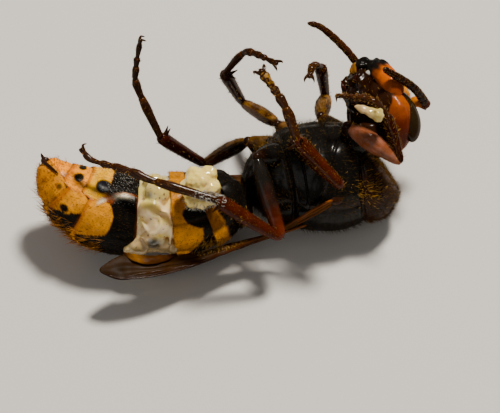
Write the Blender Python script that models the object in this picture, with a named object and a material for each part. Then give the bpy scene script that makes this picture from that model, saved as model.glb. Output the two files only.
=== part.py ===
"""A dead European hornet, queen size, lying on its back and right side, with legs folded in the air.

All sizes are millimetres until the last step, which turns the finished meshes into metres.
Places are given in the plane that a viewer sees from 55 degrees above the table: x to the right,
up across the line of sight, and toward the viewer. The belly is turned up and away.
"""

import math

import bmesh
import bpy
from mathutils import Matrix, Vector

MM = 0.001
GAP = 0.3
WELD_REACHES = (0.004, 0.001, 0.0001)
VIEW_TILT = math.radians(55)
ROLL = math.radians(15)
FLOOR = 0.0

ACROSS = Vector((1, 0, 0))
UPWARD = Vector((0, math.sin(VIEW_TILT), math.cos(VIEW_TILT)))
TOWARD = Vector((0, -math.cos(VIEW_TILT), math.sin(VIEW_TILT)))

COLOURS = {
    "black": (0.010, 0.008, 0.007, 0.32),
    "red_brown": (0.130, 0.028, 0.012, 0.38),
    "orange": (0.420, 0.120, 0.020, 0.42),
    "yellow": (0.560, 0.270, 0.030, 0.45),
    "eye": (0.030, 0.020, 0.008, 0.25),
    "wing": (0.120, 0.060, 0.025, 0.35),
    "tissue": (0.620, 0.540, 0.270, 0.30),
}


def seen(x, up, toward):
    """A place in the viewer's plane, as a point of the world in millimetres."""
    return ACROSS * x + UPWARD * up + TOWARD * toward


BODY_LEFT = seen(0, -math.sin(ROLL), math.cos(ROLL))
BODY_DORSAL = seen(0, -math.cos(ROLL), -math.sin(ROLL))

# Thorax: each station is x, up, toward, half width and half height.
MESOTHORAX = [
    (2.7, 2.35, 4.00, 3.3, 3.9),
    (3.3, 2.50, 3.90, 3.8, 4.35),
    (4.6, 2.62, 3.70, 4.15, 4.65),
    (6.4, 2.65, 3.60, 4.4, 4.80),
    (8.2, 2.60, 3.60, 4.15, 4.65),
    (9.2, 2.55, 3.60, 3.75, 4.25),
    (9.7, 2.55, 3.60, 3.3, 3.8),
]
PRONOTUM = [
    (9.6, 2.60, 3.60, 3.5, 4.0),
    (10.4, 2.75, 3.65, 3.45, 3.95),
    (11.1, 3.05, 3.75, 2.75, 3.25),
    (11.6, 3.40, 3.80, 1.6, 2.1),
]
PROPODEUM = [
    (2.9, 2.35, 4.00, 3.1, 3.7),
    (1.9, 2.20, 4.20, 3.0, 3.45),
    (0.9, 2.10, 4.40, 2.6, 2.9),
    (0.0, 1.95, 4.65, 1.8, 1.9),
    (-0.5, 1.90, 4.80, 1.0, 1.0),
]
NECK = [seen(10.5, 4.6, 3.85), seen(10.5, 5.8, 4.1), seen(10.45, 7.3, 4.4)]
NECK_RADII = [1.5, 1.2, 0.9]
SCUTELLUM = (seen(3.4, -1.25, 2.75), (1.5, 1.7, 0.75))

# Abdomen: its midline from the waist to the tip, with half width and half height at each point.
ABDOMEN = [
    (-0.80, 1.80, 4.90, 0.60, 0.60),
    (-1.20, 1.45, 5.00, 2.40, 2.40),
    (-2.20, 0.75, 5.10, 3.10, 3.05),
    (-4.35, -0.25, 5.15, 3.75, 3.60),
    (-6.96, -0.60, 5.20, 4.05, 3.80),
    (-9.57, -0.70, 5.25, 4.10, 3.85),
    (-12.10, -0.35, 5.30, 3.95, 3.75),
    (-14.30, 0.50, 5.50, 3.50, 3.40),
    (-15.90, 1.55, 5.80, 2.85, 2.70),
    (-17.00, 2.70, 6.10, 1.95, 1.85),
    (-17.65, 3.75, 6.30, 1.05, 0.95),
]
# Where each ring of the abdomen starts and ends, as x of the midline.
RINGS = {
    "abdomen_1": (-0.80, -2.20),
    "abdomen_2": (-2.20, -3.95),
    "abdomen_3": (-3.95, -6.70),
    "abdomen_4": (-9.60, -13.90),
    "abdomen_5": (-13.90, -16.10),
    "abdomen_6": (-16.10, -17.65),
}
SEAM_ANGLE = math.radians(35)
STERNITE_SCALE = 0.955
RING_SIDES = 22
RING_FRONT_SCALE = 0.93
STING = [seen(-17.6, 3.5, 6.3), seen(-17.85, 4.05, 6.4), seen(-18.05, 4.5, 6.5)]

# Head: its middle, the way its face looks and the way its crown points.
HEAD_CENTRE = seen(11.3, 7.75, 3.5)
FACE_AWAY = math.radians(35)
CROWN = seen(0.37, -0.929, 0).normalized()
FACE = (seen(0.929, 0.37, 0) * math.cos(FACE_AWAY) - TOWARD * math.sin(FACE_AWAY)).normalized()
HEAD_LEFT = CROWN.cross(FACE).normalized()
HEAD_HALF = (2.3, 3.9, 3.5)
HEAD_BACK = 1.8
EYE_PLACE = (0.85, 2.7, 0.85)
EYE_HALF = (1.0, 1.05, 2.45)

# Each leg: joints from the hip to the foot, and the radius of thigh, shin and foot.
LEGS = {
    "left_fore": {
        "hip": (9.2, 5.3, 5.6), "trochanter": (8.4, 6.9, 7.5), "knee": (13.0, 3.75, 8.7),
        "ankle": (11.75, 7.9, 9.2), "foot": [(10.4, 9.2, 9.5), (7.9, 9.5, 9.7)],
        "radii": (0.95, 0.55, 0.30), "spurs": 1,
    },
    "left_mid": {
        "hip": (4.9, 5.0, 5.6), "trochanter": (3.7, 5.5, 7.8), "knee": (7.95, 1.65, 10.3),
        "ankle": (4.0, 5.75, 11.6), "foot": [(3.2, 8.1, 11.5), (2.3, 9.7, 11.2), (1.1, 11.4, 10.6)],
        "radii": (0.70, 0.60, 0.32), "spurs": 2,
    },
    "left_hind": {
        "hip": (2.4, 4.4, 5.6), "trochanter": (0.6, 4.3, 8.2), "knee": (2.7, -2.75, 8.6),
        "ankle": (-2.75, 0.55, 11.4),
        "foot": [(-8.3, 2.2, 11.1), (-10.3, 3.05, 10.7), (-13.5, 3.95, 9.8), (-14.3, 4.7, 9.5)],
        "radii": (0.80, 0.60, 0.36), "spurs": 2,
    },
    "right_fore": {
        "hip": (8.0, 5.6, 2.6), "trochanter": (6.2, 7.9, 2.2), "knee": (6.7, 9.6, -2.6),
        "ankle": (6.2, 12.2, 1.9), "foot": [(5.5, 12.3, 3.6), (5.2, 11.4, 5.3)],
        "radii": (0.80, 0.55, 0.30), "spurs": 1,
    },
    "right_mid": {
        "hip": (4.6, 5.3, 3.2), "trochanter": (2.4, 7.2, 3.6), "knee": (-0.6, 9.1, -1.6),
        "ankle": (-2.2, 11.6, 4.4), "foot": [(-0.7, 13.2, 6.3), (0.2, 13.3, 7.3), (2.1, 12.4, 9.0)],
        "radii": (0.70, 0.55, 0.30), "spurs": 2,
    },
    "right_hind": {
        "hip": (2.4, 4.6, 3.4), "trochanter": (-0.2, 5.75, 3.4), "knee": (-3.95, 3.75, -1.7),
        "ankle": (-7.8, 6.05, 4.6), "foot": [(-9.75, 10.3, 6.6), (-9.85, 12.0, 7.4), (-9.5, 14.1, 8.4)],
        "radii": (0.72, 0.56, 0.34), "spurs": 2,
    },
}
TARSOMERES = (0.44, 0.19, 0.13, 0.09, 0.15)

# Antennae: socket, elbow and tip, with one more point that the whip passes through.
ANTENNAE = {
    "left": {"socket": (13.6, 8.6, 3.2), "elbow": (15.5, 8.75, 3.7), "bend": (14.35, 10.6, 6.0),
             "tip": (11.5, 11.95, 7.8)},
    "right": {"socket": (12.4, 8.4, 1.4), "elbow": (11.2, 10.1, -0.6), "bend": (9.1, 12.75, 0.2),
              "tip": (5.05, 16.0, 1.4)},
}
SCAPE_RADIUS = 0.38
FLAGELLUM_RADIUS = 0.34
FLAGELLUM_RINGS = 10

# Wings: the front edge and the folded inner edge, both from root to tip.
WING_THICKNESS = 0.5
VEIN_HEIGHT = 0.16
WING_STEPS = 15
WING_COLUMNS = 6
LEFT_FOREWING = (
    [(7.6, 0.9, 7.2), (5.6, -0.1, 8.1), (2.9, -1.8, 7.0), (-0.9, -3.5, 6.9), (-4.4, -4.95, 7.6),
     (-8.0, -5.9, 8.9), (-11.0, -6.2, 9.6), (-12.7, -5.6, 9.8)],
    [(7.4, 0.2, 6.9), (5.4, -0.9, 7.5), (2.7, -2.4, 5.8), (-0.9, -3.75, 4.9), (-4.4, -4.75, 5.4),
     (-8.0, -4.75, 7.3), (-10.9, -4.4, 8.2), (-12.4, -4.9, 9.2)],
)
FLAT_WING = WING_THICKNESS / 2
LEFT_HINDWING = (
    [(5.6, -3.9, 3.6), (4.2, -4.4, 3.0), (2.0, -4.7, 2.2), (-1.2, -5.4, 1.2),
     (-4.4, -6.5, 0.9), (-8.4, -7.8, 1.0)],
    [(5.4, -3.6, 3.1), (4.0, -4.0, 2.4), (2.0, -4.0, 1.6), (-1.2, -4.3, 0.75),
     (-4.4, -5.2, 0.4), (-8.0, -6.5, 0.5)],
)
RIGHT_FOREWING = (
    [(7.6, 2.6, 1.8), (5.6, 3.1, 0.7), (2.5, 2.7, FLAT_WING), (-2.0, 2.5, FLAT_WING),
     (-7.0, 2.4, FLAT_WING), (-11.5, 2.0, FLAT_WING), (-13.6, 1.4, FLAT_WING)],
    [(7.2, 1.9, 1.5), (5.2, 2.0, 0.5), (2.3, 0.9, FLAT_WING), (-2.0, -0.4, FLAT_WING),
     (-7.0, -0.9, FLAT_WING), (-11.5, -0.7, FLAT_WING), (-13.3, 0.2, FLAT_WING)],
)
RIGHT_HINDWING = (
    [(6.0, 3.2, 2.1), (4.4, 3.3, 1.5), (2.0, 2.8, 1.15), (-2.0, 2.5, 1.1),
     (-6.0, 2.4, 1.1), (-9.2, 1.8, 1.1)],
    [(5.6, 2.7, 1.9), (4.0, 2.6, 1.35), (2.0, 1.7, 1.1), (-2.0, 1.1, 1.1),
     (-6.0, 0.9, 1.1), (-9.0, 1.1, 1.1)],
)

# Pale tissue: lumps as x, up, toward and radius.
TEAR_LUMPS = [
    (-8.1, 1.1, 8.3, 1.15), (-8.5, -0.3, 8.6, 1.10), (-7.8, -1.5, 8.5, 1.25), (-8.3, -2.6, 8.0, 1.05),
    (-9.6, -3.3, 7.4, 1.00), (-7.4, -3.2, 7.5, 0.85), (-8.3, 1.9, 7.3, 1.00),
]
LEG_LUMPS = [
    (-4.5, 2.0, 11.1, 1.55), (-3.6, 1.9, 11.3, 1.15), (-5.2, 1.0, 11.0, 1.20), (-3.8, 0.5, 11.3, 1.15),
    (-4.4, 2.7, 10.8, 1.00), (-5.0, 0.4, 10.6, 0.95),
]
FORE_DROP = [(9.2, 8.35, 10.0, 0.38), (9.9, 8.1, 10.1, 0.42), (10.5, 7.8, 10.2, 0.5), (11.0, 7.7, 10.2, 0.6)]


def clear_scene():
    for obj in list(bpy.data.objects):
        bpy.data.objects.remove(obj, do_unlink=True)


def make_collection(name):
    collection = bpy.data.collections.new(name)
    bpy.context.scene.collection.children.link(collection)
    return collection


def add_mesh(bm):
    """A new object in the workshop collection from this bmesh, with its faces pointing out."""
    bmesh.ops.recalc_face_normals(bm, faces=bm.faces)
    mesh = bpy.data.meshes.new("piece")
    bm.to_mesh(mesh)
    bm.free()
    obj = bpy.data.objects.new("piece", mesh)
    WORKSHOP.objects.link(obj)
    return obj


def smooth_path(points, steps):
    """Points on a smooth curve through the given ones, each a Vector of any length."""
    padded = [points[0] * 2 - points[1]] + list(points) + [points[-1] * 2 - points[-2]]
    path = []
    for before, start, end, after in zip(padded, padded[1:], padded[2:], padded[3:]):
        for step in range(steps):
            t = step / steps
            path.append(
                start
                + (end - before) * (t / 2)
                + (before * 2 - start * 5 + end * 4 - after) * (t * t / 2)
                + (start * 3 - before - end * 3 + after) * (t ** 3 / 2)
            )
    path.append(points[-1].copy())
    return path


def tangents(path):
    ends = [path[0]] + list(path) + [path[-1]]
    return [(after - before).normalized() for before, after in zip(ends, ends[2:])]


def loft(path, halves, side, sides=RING_SIDES, section=None):
    """A closed body with an oval section at each point of a path; halves are across side and across that."""
    bm = bmesh.new()
    rings = []
    for index, (place, way) in enumerate(zip(path, tangents(path))):
        across = (side - way * side.dot(way)).normalized()
        rise = way.cross(across)
        ring = []
        for number in range(sides):
            angle = 2 * math.pi * (number + 0.5) / sides
            scale = section(index, angle) if section else 1.0
            wide, high = halves[index]
            point = place + across * (wide * scale * math.cos(angle))
            point += rise * (high * scale * math.sin(angle))
            ring.append(bm.verts.new(point))
        rings.append(ring)
    for near, far in zip(rings, rings[1:]):
        for number in range(sides):
            following = (number + 1) % sides
            bm.faces.new((near[number], near[following], far[following], far[number]))
    for ring in (rings[0], rings[-1]):
        bm.faces.new(ring)
    bmesh.ops.triangulate(bm, faces=bm.faces)
    return add_mesh(bm)


def tube(points, radii, resolution=2):
    """A round tapering rod through the points, from a bevelled curve."""
    curve = bpy.data.curves.new("rod", "CURVE")
    curve.dimensions = "3D"
    curve.bevel_depth = 1.0
    curve.bevel_resolution = resolution
    curve.use_fill_caps = True
    spline = curve.splines.new("POLY")
    spline.points.add(len(points) - 1)
    for knot, place, radius in zip(spline.points, points, radii):
        knot.co = (*place, 1)
        knot.radius = radius
    rod = bpy.data.objects.new("rod", curve)
    WORKSHOP.objects.link(rod)
    bpy.context.view_layer.update()
    mesh = bpy.data.meshes.new_from_object(rod.evaluated_get(bpy.context.evaluated_depsgraph_get()))
    bpy.data.objects.remove(rod, do_unlink=True)
    bm = bmesh.new()
    bm.from_mesh(mesh)
    bmesh.ops.remove_doubles(bm, verts=bm.verts, dist=0.002)
    bmesh.ops.triangulate(bm, faces=bm.faces)
    return add_mesh(bm)


def ball(centre, radii, turn=None, segments=10, rings=6, shape=None):
    """An ellipsoid from a sphere; turn is the matrix of its axes and shape changes its unit points."""
    bm = bmesh.new()
    bmesh.ops.create_uvsphere(bm, u_segments=segments, v_segments=rings, radius=1.0)
    for vert in bm.verts:
        unit = shape(vert.co.copy()) if shape else vert.co.copy()
        local = Vector((unit.x * radii[0], unit.y * radii[1], unit.z * radii[2]))
        vert.co = (turn @ local if turn else local) + centre
    bmesh.ops.triangulate(bm, faces=bm.faces)
    return add_mesh(bm)


def largest_island(bm):
    """The faces of the largest surface that clean edges hold together."""
    islands = []
    left = set(bm.faces)
    while left:
        stack = [left.pop()]
        island = set(stack)
        while stack:
            for edge in stack.pop().edges:
                for face in edge.link_faces:
                    if face in left and edge.is_manifold:
                        left.discard(face)
                        island.add(face)
                        stack.append(face)
        islands.append(island)
    return max(islands, key=lambda faces: sum(face.calc_area() for face in faces))


def largest_surface(mesh):
    """Keeps only the largest closed surface of a mesh, with the slivers of a cut welded."""
    for reach in WELD_REACHES:
        bm = bmesh.new()
        bm.from_mesh(mesh)
        bmesh.ops.remove_doubles(bm, verts=bm.verts, dist=reach)
        bmesh.ops.dissolve_degenerate(bm, edges=bm.edges, dist=reach)
        bmesh.ops.triangulate(bm, faces=bm.faces)
        keep = largest_island(bm)
        bmesh.ops.delete(bm, geom=[face for face in bm.faces if face not in keep], context="FACES")
        bmesh.ops.delete(bm, geom=[vert for vert in bm.verts if not vert.link_faces], context="VERTS")
        closed = all(edge.is_manifold for edge in bm.edges)
        if closed or reach == WELD_REACHES[-1]:
            bm.to_mesh(mesh)
        bm.free()
        if closed:
            break


def boolean(obj, others, operation):
    """Joins the other pieces to this one, or cuts them from it, and removes them."""
    batch = bpy.data.collections.new("batch")
    bpy.context.scene.collection.children.link(batch)
    for other in others:
        batch.objects.link(other)
    for solver in ("EXACT", "MANIFOLD"):
        modifier = obj.modifiers.new("join", "BOOLEAN")
        modifier.operation = operation
        modifier.operand_type = "COLLECTION"
        modifier.collection = batch
        modifier.solver = solver
        bpy.context.view_layer.update()
        mesh = bpy.data.meshes.new_from_object(obj.evaluated_get(bpy.context.evaluated_depsgraph_get()))
        obj.modifiers.clear()
        if mesh.polygons:
            break
    obj.data = mesh
    largest_surface(mesh)
    for other in others:
        bpy.data.objects.remove(other, do_unlink=True)
    bpy.data.collections.remove(batch)
    return obj


def fuse(pieces):
    """One closed body from several that cross; each one's own form is kept for later cuts."""
    forms = [piece.data.copy() for piece in pieces]
    whole = boolean(pieces[0], pieces[1:], "UNION") if len(pieces) > 1 else pieces[0]
    WHOLE_FORMS[whole.name] = forms
    return whole


def grown(form, by=GAP):
    """A copy of a form that stands off it by the working gap."""
    bm = bmesh.new()
    bm.from_mesh(form)
    bm.normal_update()
    moves = [(vert, vert.normal * by) for vert in bm.verts]
    for vert, move in moves:
        vert.co += move
    return add_mesh(bm)


def clear_of(obj, neighbours):
    """Cuts a piece back so that it meets each neighbour face to face across the gap."""
    if obj.name not in WHOLE_FORMS:
        WHOLE_FORMS[obj.name] = [obj.data.copy()]
    for neighbour in neighbours:
        for form in WHOLE_FORMS.get(neighbour.name, [neighbour.data]):
            boolean(obj, [grown(form)], "DIFFERENCE")
    return obj


def rest_flat(obj):
    """Gives a piece that reaches the floor a small flat at floor level."""
    bm = bmesh.new()
    bm.from_mesh(obj.data)
    cut = bmesh.ops.bisect_plane(
        bm, geom=list(bm.verts) + list(bm.edges) + list(bm.faces), dist=0.001,
        plane_co=(0, 0, FLOOR), plane_no=(0, 0, -1), clear_outer=True,
    )
    rim = [item for item in cut["geom_cut"] if isinstance(item, bmesh.types.BMEdge)]
    if rim:
        bmesh.ops.contextual_create(bm, geom=rim)
        bmesh.ops.triangulate(bm, faces=bm.faces)
        bmesh.ops.recalc_face_normals(bm, faces=bm.faces)
    bm.to_mesh(obj.data)
    bm.free()
    return obj


def body_section(stations):
    path = [seen(*station[:3]) for station in stations]
    return loft(path, [station[3:5] for station in stations], BODY_LEFT)


def thorax():
    """The three lengths of the thorax, each meeting the next across the gap."""
    shield = ball(SCUTELLUM[0], SCUTELLUM[1], body_turn())
    middle = rest_flat(fuse([body_section(MESOTHORAX), shield]))
    collar = fuse([body_section(PRONOTUM), tube(NECK, NECK_RADII, 3)])
    collar = rest_flat(clear_of(collar, [middle]))
    rear = clear_of(body_section(PROPODEUM), [middle])
    return {"mesothorax": middle, "pronotum": collar, "propodeum": rear}


def body_turn():
    """Axes of the body: forward, left and dorsal."""
    return Matrix((ACROSS, BODY_LEFT, BODY_DORSAL)).transposed()


def head_turn():
    """Axes of the head: the face, its left and the crown."""
    return Matrix((FACE, HEAD_LEFT, CROWN)).transposed()


def head_place(forward, left, crown):
    return HEAD_CENTRE + FACE * forward + HEAD_LEFT * left + CROWN * crown


def midline(x):
    """Place, half width and half height of the abdomen's midline at this x."""
    path = smooth_path([Vector(station[:3]) for station in ABDOMEN], 8)
    sizes = smooth_path([Vector((station[3], station[4], 0)) for station in ABDOMEN], 8)
    for index, (near, far) in enumerate(zip(path, path[1:])):
        if x >= far.x:
            share = min(max((near.x - x) / (near.x - far.x), 0.0), 1.0)
            return near.lerp(far, share), sizes[index].lerp(sizes[index + 1], share)
    return path[-1], sizes[-1]


def belly_step(_, angle):
    """The plates of the belly sit a little inside those of the back."""
    return STERNITE_SCALE if math.sin(angle) > math.sin(SEAM_ANGLE) else 1.0


def abdomen_ring(start, end, rear_lip):
    """One ring of the abdomen: narrow where the ring before covers it, widest at its rear edge."""
    steps = 5
    shares = [step / steps for step in range(steps + 1)]
    path, halves = [], []
    for share in shares:
        place, size = midline(start + (end - start) * share)
        grow = RING_FRONT_SCALE + (1 - RING_FRONT_SCALE) * math.sin(share * math.pi / 2)
        path.append(seen(*place))
        halves.append((size.x * grow, size.y * grow))
    if rear_lip:
        back = path[-1] - path[-2]
        path.append(path[-1] + back.normalized() * 0.12)
        halves.append((halves[-1][0] * 0.95, halves[-1][1] * 0.95))

    return loft(path, halves, BODY_LEFT, section=belly_step)


def abdomen():
    """The six rings from the waist to the tip, each cut clear of the one before."""
    made = {}
    before = None
    for name, (start, end) in RINGS.items():
        piece = abdomen_ring(start, end, name != "abdomen_6")
        if before:
            clear_of(piece, [before])
        made[name] = rest_flat(piece)
        before = piece
    needle = tube(smooth_path(STING, 2), [0.22, 0.2, 0.17, 0.13, 0.08])
    made["sting"] = clear_of(needle, [made["abdomen_6"]])
    return made


def cranium_shape(unit):
    """The hornet's face narrows to the jaws, is broad behind the eyes and flat at the back."""
    narrow = 1.0 - 0.16 * max(0.0, -unit.z) - 0.04 * max(0.0, unit.z)
    depth = 1.0 if unit.x > 0 else HEAD_BACK / HEAD_HALF[0]
    return Vector((unit.x * depth, unit.y * narrow, unit.z))


def jaw(sign):
    """A curved jaw, broad at its hinge, with three teeth along its inner edge."""
    spine = [
        head_place(0.35, sign * 2.9, -1.5),
        head_place(0.55, sign * 2.6, -2.9),
        head_place(0.6, sign * 1.6, -4.15),
        head_place(0.4, sign * 0.4, -4.9),
    ]
    blade = loft(spine, [(0.9, 0.85), (0.95, 0.85), (0.75, 0.55), (0.25, 0.22)], FACE, sides=10)
    teeth = []
    for number in range(3):
        root = head_place(0.6, sign * (1.9 - 0.4 * number), -3.6 - 0.3 * number)
        point = head_place(0.7, sign * (0.75 - 0.15 * number), -3.4 - 0.5 * number)
        teeth.append(tube([root, point], [0.4, 0.14]))
    return fuse([blade] + teeth)


def head():
    """Cranium with face shield and cheeks, sunken seats for the eyes, jaws and mouth parts."""
    turn = head_turn()
    skull = ball(HEAD_CENTRE, HEAD_HALF, turn, 20, 14, cranium_shape)
    shield = ball(head_place(1.35, 0, -1.9), (1.15, 1.7, 1.6), turn, 14, 8)
    skull = fuse([skull, shield])
    made = {}
    for name, sign in (("left", 1), ("right", -1)):
        eye = ball(head_place(EYE_PLACE[0], sign * EYE_PLACE[1], EYE_PLACE[2]), EYE_HALF, turn, 12, 10)
        clear_of(skull, [eye])
        made["eye_" + name] = eye
    made["head"] = skull
    for name, sign in (("left", 1), ("right", -1)):
        made["mandible_" + name] = clear_of(jaw(sign), [skull, made["eye_" + name]])
    mouth = [ball(head_place(-0.8, 0.1, -3.0), (1.3, 1.7, 1.5), turn)]
    mouth.append(ball(head_place(-1.6, 0, -2.2), (1.0, 1.5, 1.3), turn))
    for sign in (1, -1):
        palp = [head_place(-1.5, sign * 0.8, -3.2), head_place(-2.0, sign * 1.3, -3.9)]
        palp.append(head_place(-1.9, sign * 1.5, -4.6))
        mouth.append(tube(palp, [0.4, 0.3, 0.2]))
    mouthparts = clear_of(fuse(mouth), [skull])
    made["mouthparts"] = clear_of(mouthparts, [made["mandible_left"], made["mandible_right"]])
    return made


def antenna(side, parent):
    """Scape and ringed whip of one antenna."""
    points = {key: seen(*place) for key, place in ANTENNAE[side].items()}
    scape_path = [points["socket"], points["socket"].lerp(points["elbow"], 0.5), points["elbow"]]
    scape = tube(scape_path, [SCAPE_RADIUS * 0.7, SCAPE_RADIUS, SCAPE_RADIUS * 0.9])
    clear_of(scape, parent)
    path = smooth_path([points["elbow"], points["bend"], points["tip"]], FLAGELLUM_RINGS)
    radii = [FLAGELLUM_RADIUS * (1.0 if index % 2 else 0.88) for index in range(len(path))]
    radii[0], radii[-1] = FLAGELLUM_RADIUS * 0.6, FLAGELLUM_RADIUS * 0.55
    whip = clear_of(tube(path, radii), [scape])
    return {"scape_" + side: scape, "flagellum_" + side: whip}


def claws(tip, way, side):
    """A pair of hooked claws at the end of a foot, which spread and curl."""
    hooks = []
    drop = way.cross(side).normalized()
    for sign in (1, -1):
        path = [
            tip - way * 0.25,
            tip + way * 0.25 + side * (sign * 0.25),
            tip + way * 0.5 + side * (sign * 0.5) - drop * 0.15,
            tip + way * 0.5 + side * (sign * 0.62) - drop * 0.5,
        ]
        hooks.append(tube(path, [0.16, 0.15, 0.11, 0.05], 1))
    return hooks


def lengths_along(path):
    """The distance from the start of a path to each of its points."""
    lengths = [0.0]
    for near, far in zip(path, path[1:]):
        lengths.append(lengths[-1] + (far - near).length)
    return lengths


def along(path, share):
    """The point at this share of a path's length."""
    lengths = lengths_along(path)
    goal = share * lengths[-1]
    for index in range(len(path) - 1):
        if lengths[index + 1] >= goal:
            part = (goal - lengths[index]) / max(lengths[index + 1] - lengths[index], 1e-9)
            return path[index].lerp(path[index + 1], part)
    return path[-1].copy()


def tarsus(leg, side):
    """A foot: five joints and two claws."""
    start = seen(*leg["ankle"])
    path = smooth_path([start] + [seen(*place) for place in leg["foot"]], 6)
    radius = leg["radii"][2]
    points, radii = [], []
    share = 0.0
    for number, length in enumerate(TARSOMERES):
        thick = radius * (1.0 - 0.08 * number)
        points += [along(path, share + length * 0.06), along(path, share + length * 0.9)]
        radii += [thick * 0.72, thick]
        share += length
    way = (path[-1] - path[-2]).normalized()
    points.append(path[-1])
    radii.append(radius * 0.5)
    return fuse([tube(points, radii)] + claws(points[-1], way, side))


def leg(name, anchor):
    """Coxa, femur, tibia and tarsus of one leg, each cut clear of the one before."""
    sizes = LEGS[name]
    hip, trochanter, knee, ankle = (seen(*sizes[key]) for key in ("hip", "trochanter", "knee", "ankle"))
    thigh, shin, _ = sizes["radii"]
    flat = (knee - trochanter).cross(ankle - knee).normalized()
    coxa_path = [hip, hip.lerp(trochanter, 0.35), hip.lerp(trochanter, 0.75), trochanter]
    coxa = loft(coxa_path, [(1.3, 1.2), (1.25, 1.15), (0.8, 0.75), (0.5, 0.5)], flat, sides=10)
    clear_of(coxa, anchor)
    femur_path = [trochanter.lerp(knee, share) for share in (0.02, 0.15, 0.4, 0.7, 0.93, 1.0)]
    femur_sizes = [(thigh * wide, thigh * deep) for wide, deep in
                   ((0.45, 0.5), (0.7, 0.85), (0.85, 1.0), (0.75, 0.85), (0.6, 0.7), (0.4, 0.45))]
    femur = clear_of(loft(femur_path, femur_sizes, flat, sides=10), [coxa])
    tibia_path = [knee.lerp(ankle, share) for share in (0.0, 0.06, 0.2, 0.6, 0.92, 1.0)]
    tibia_sizes = [(shin * wide, shin * deep) for wide, deep in
                   ((0.5, 0.5), (0.7, 0.75), (0.75, 0.85), (0.9, 1.05), (0.95, 1.05), (0.7, 0.75))]
    pieces = [loft(tibia_path, tibia_sizes, flat, sides=10)]
    way = (ankle - knee).normalized()
    for number in range(sizes["spurs"]):
        lean = flat.cross(way) * (1 if name.startswith("left") else -1) + flat * (0.7 - 1.4 * number)
        root = ankle - way * 0.45
        pieces.append(tube([root, root + way * 0.9 + lean * 0.75], [0.17, 0.06], 1))
    tibia = clear_of(fuse(pieces), [femur])
    foot = clear_of(tarsus(sizes, flat), [tibia])
    return {name + "_coxa": coxa, name + "_femur": femur, name + "_tibia": tibia, name + "_tarsus": foot}


def vein_height(along_share, across_share):
    """How far the surface stands up over a vein: two long veins that part, and two cross veins."""
    height = 0.0
    for start, end in ((0.02, 0.02), (0.35, 0.18), (0.45, 0.72)):
        centre = start + (end - start) * along_share
        height = max(height, 1 - abs(across_share - centre) / 0.12)
    for place in (0.55, 0.78):
        height = max(height, 0.9 - abs(along_share - place) / 0.04)
    return VEIN_HEIGHT * max(0.0, height)


def wing(rails, flat_below):
    """A folded wing between its front edge and its inner edge, with the same triangles on both faces."""
    edges = []
    for rail in rails:
        path = smooth_path([Vector(point) for point in rail], 6)
        edges.append([along(path, step / WING_STEPS) for step in range(WING_STEPS + 1)])
    bm = bmesh.new()
    faces_up, faces_down = [], []
    for step, (front, inner) in enumerate(zip(*edges)):
        following = min(step + 1, WING_STEPS)
        way = edges[0][following] - edges[0][max(following - 2, 0)]
        normal = (inner - front).cross(way).normalized()
        if normal.z < 0 and flat_below:
            normal.negate()
        tops, bottoms = [], []
        for column in range(WING_COLUMNS + 1):
            share = column / WING_COLUMNS
            place = front.lerp(inner, share)
            if flat_below:
                place.z = max(place.z, FLAT_WING)
            lift = vein_height(step / WING_STEPS, share)
            tops.append(bm.verts.new(place + normal * (WING_THICKNESS / 2 + lift)))
            bottoms.append(bm.verts.new(place - normal * (WING_THICKNESS / 2)))
        faces_up.append(tops)
        faces_down.append(bottoms)
    for grid in (faces_up, faces_down):
        for near, far in zip(grid, grid[1:]):
            for column in range(WING_COLUMNS):
                bm.faces.new((near[column], near[column + 1], far[column + 1]))
                bm.faces.new((near[column], far[column + 1], far[column]))
    for column in (0, WING_COLUMNS):
        for step in range(WING_STEPS):
            bm.faces.new((faces_up[step][column], faces_up[step + 1][column], faces_down[step + 1][column]))
            bm.faces.new((faces_up[step][column], faces_down[step + 1][column], faces_down[step][column]))
    for step in (0, WING_STEPS):
        for column in range(WING_COLUMNS):
            bm.faces.new((faces_up[step][column], faces_up[step][column + 1], faces_down[step][column + 1]))
            bm.faces.new((faces_up[step][column], faces_down[step][column + 1], faces_down[step][column]))
    return add_mesh(bm)


def seen_rails(rails):
    return [[seen(*point) for point in rail] for rail in rails]


def wings(trunk):
    """Four wings; the left pair lies along the flank and the right pair on the floor beneath the body."""
    made = {
        "forewing_left": wing(seen_rails(LEFT_FOREWING), False),
        "hindwing_left": wing(LEFT_HINDWING, False),
        "forewing_right": wing(RIGHT_FOREWING, True),
        "hindwing_right": wing(RIGHT_HINDWING, True),
    }
    for piece in made.values():
        clear_of(piece, trunk)
    return made


def lumps(places):
    return fuse([ball(seen(x, up, toward), (radius,) * 3) for x, up, toward, radius in places])


def tissue(parts):
    """The pale tissue that fills the tear, and what clings to two feet."""
    path, halves = [], []
    for share in (0.0, 0.33, 0.66, 1.0):
        place, size = midline(-6.6 + (-9.6 + 6.6) * share)
        path.append(seen(*place))
        halves.append((size.x * 0.84, size.y * 0.84))
    core = fuse([loft(path, halves, BODY_LEFT), lumps(TEAR_LUMPS)])
    core = clear_of(core, [parts["abdomen_3"], parts["abdomen_4"]])
    clot = clear_of(lumps(LEG_LUMPS), [parts["left_hind_tibia"], parts["left_hind_tarsus"]])
    drop = clear_of(lumps(FORE_DROP), [parts["left_fore_tarsus"], parts["left_fore_tibia"]])
    return {"tissue_tear": rest_flat(core), "tissue_hind_leg": clot, "tissue_fore_leg": drop}


def finish_of(name):
    """The material word for a node."""
    for key, word in (("eye", "eye"), ("wing", "wing"), ("tissue", "tissue"), ("mandible", "orange"),
                      ("head", "orange"), ("scape", "orange"), ("abdomen_4", "yellow"), ("abdomen_5", "yellow"),
                      ("abdomen_6", "yellow"), ("abdomen_3", "yellow"), ("femur", "red_brown"),
                      ("tibia", "red_brown"), ("tarsus", "red_brown"), ("flagellum", "red_brown"),
                      ("mouthparts", "red_brown"), ("sting", "red_brown")):
        if key in name:
            return word
    return "black"


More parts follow.
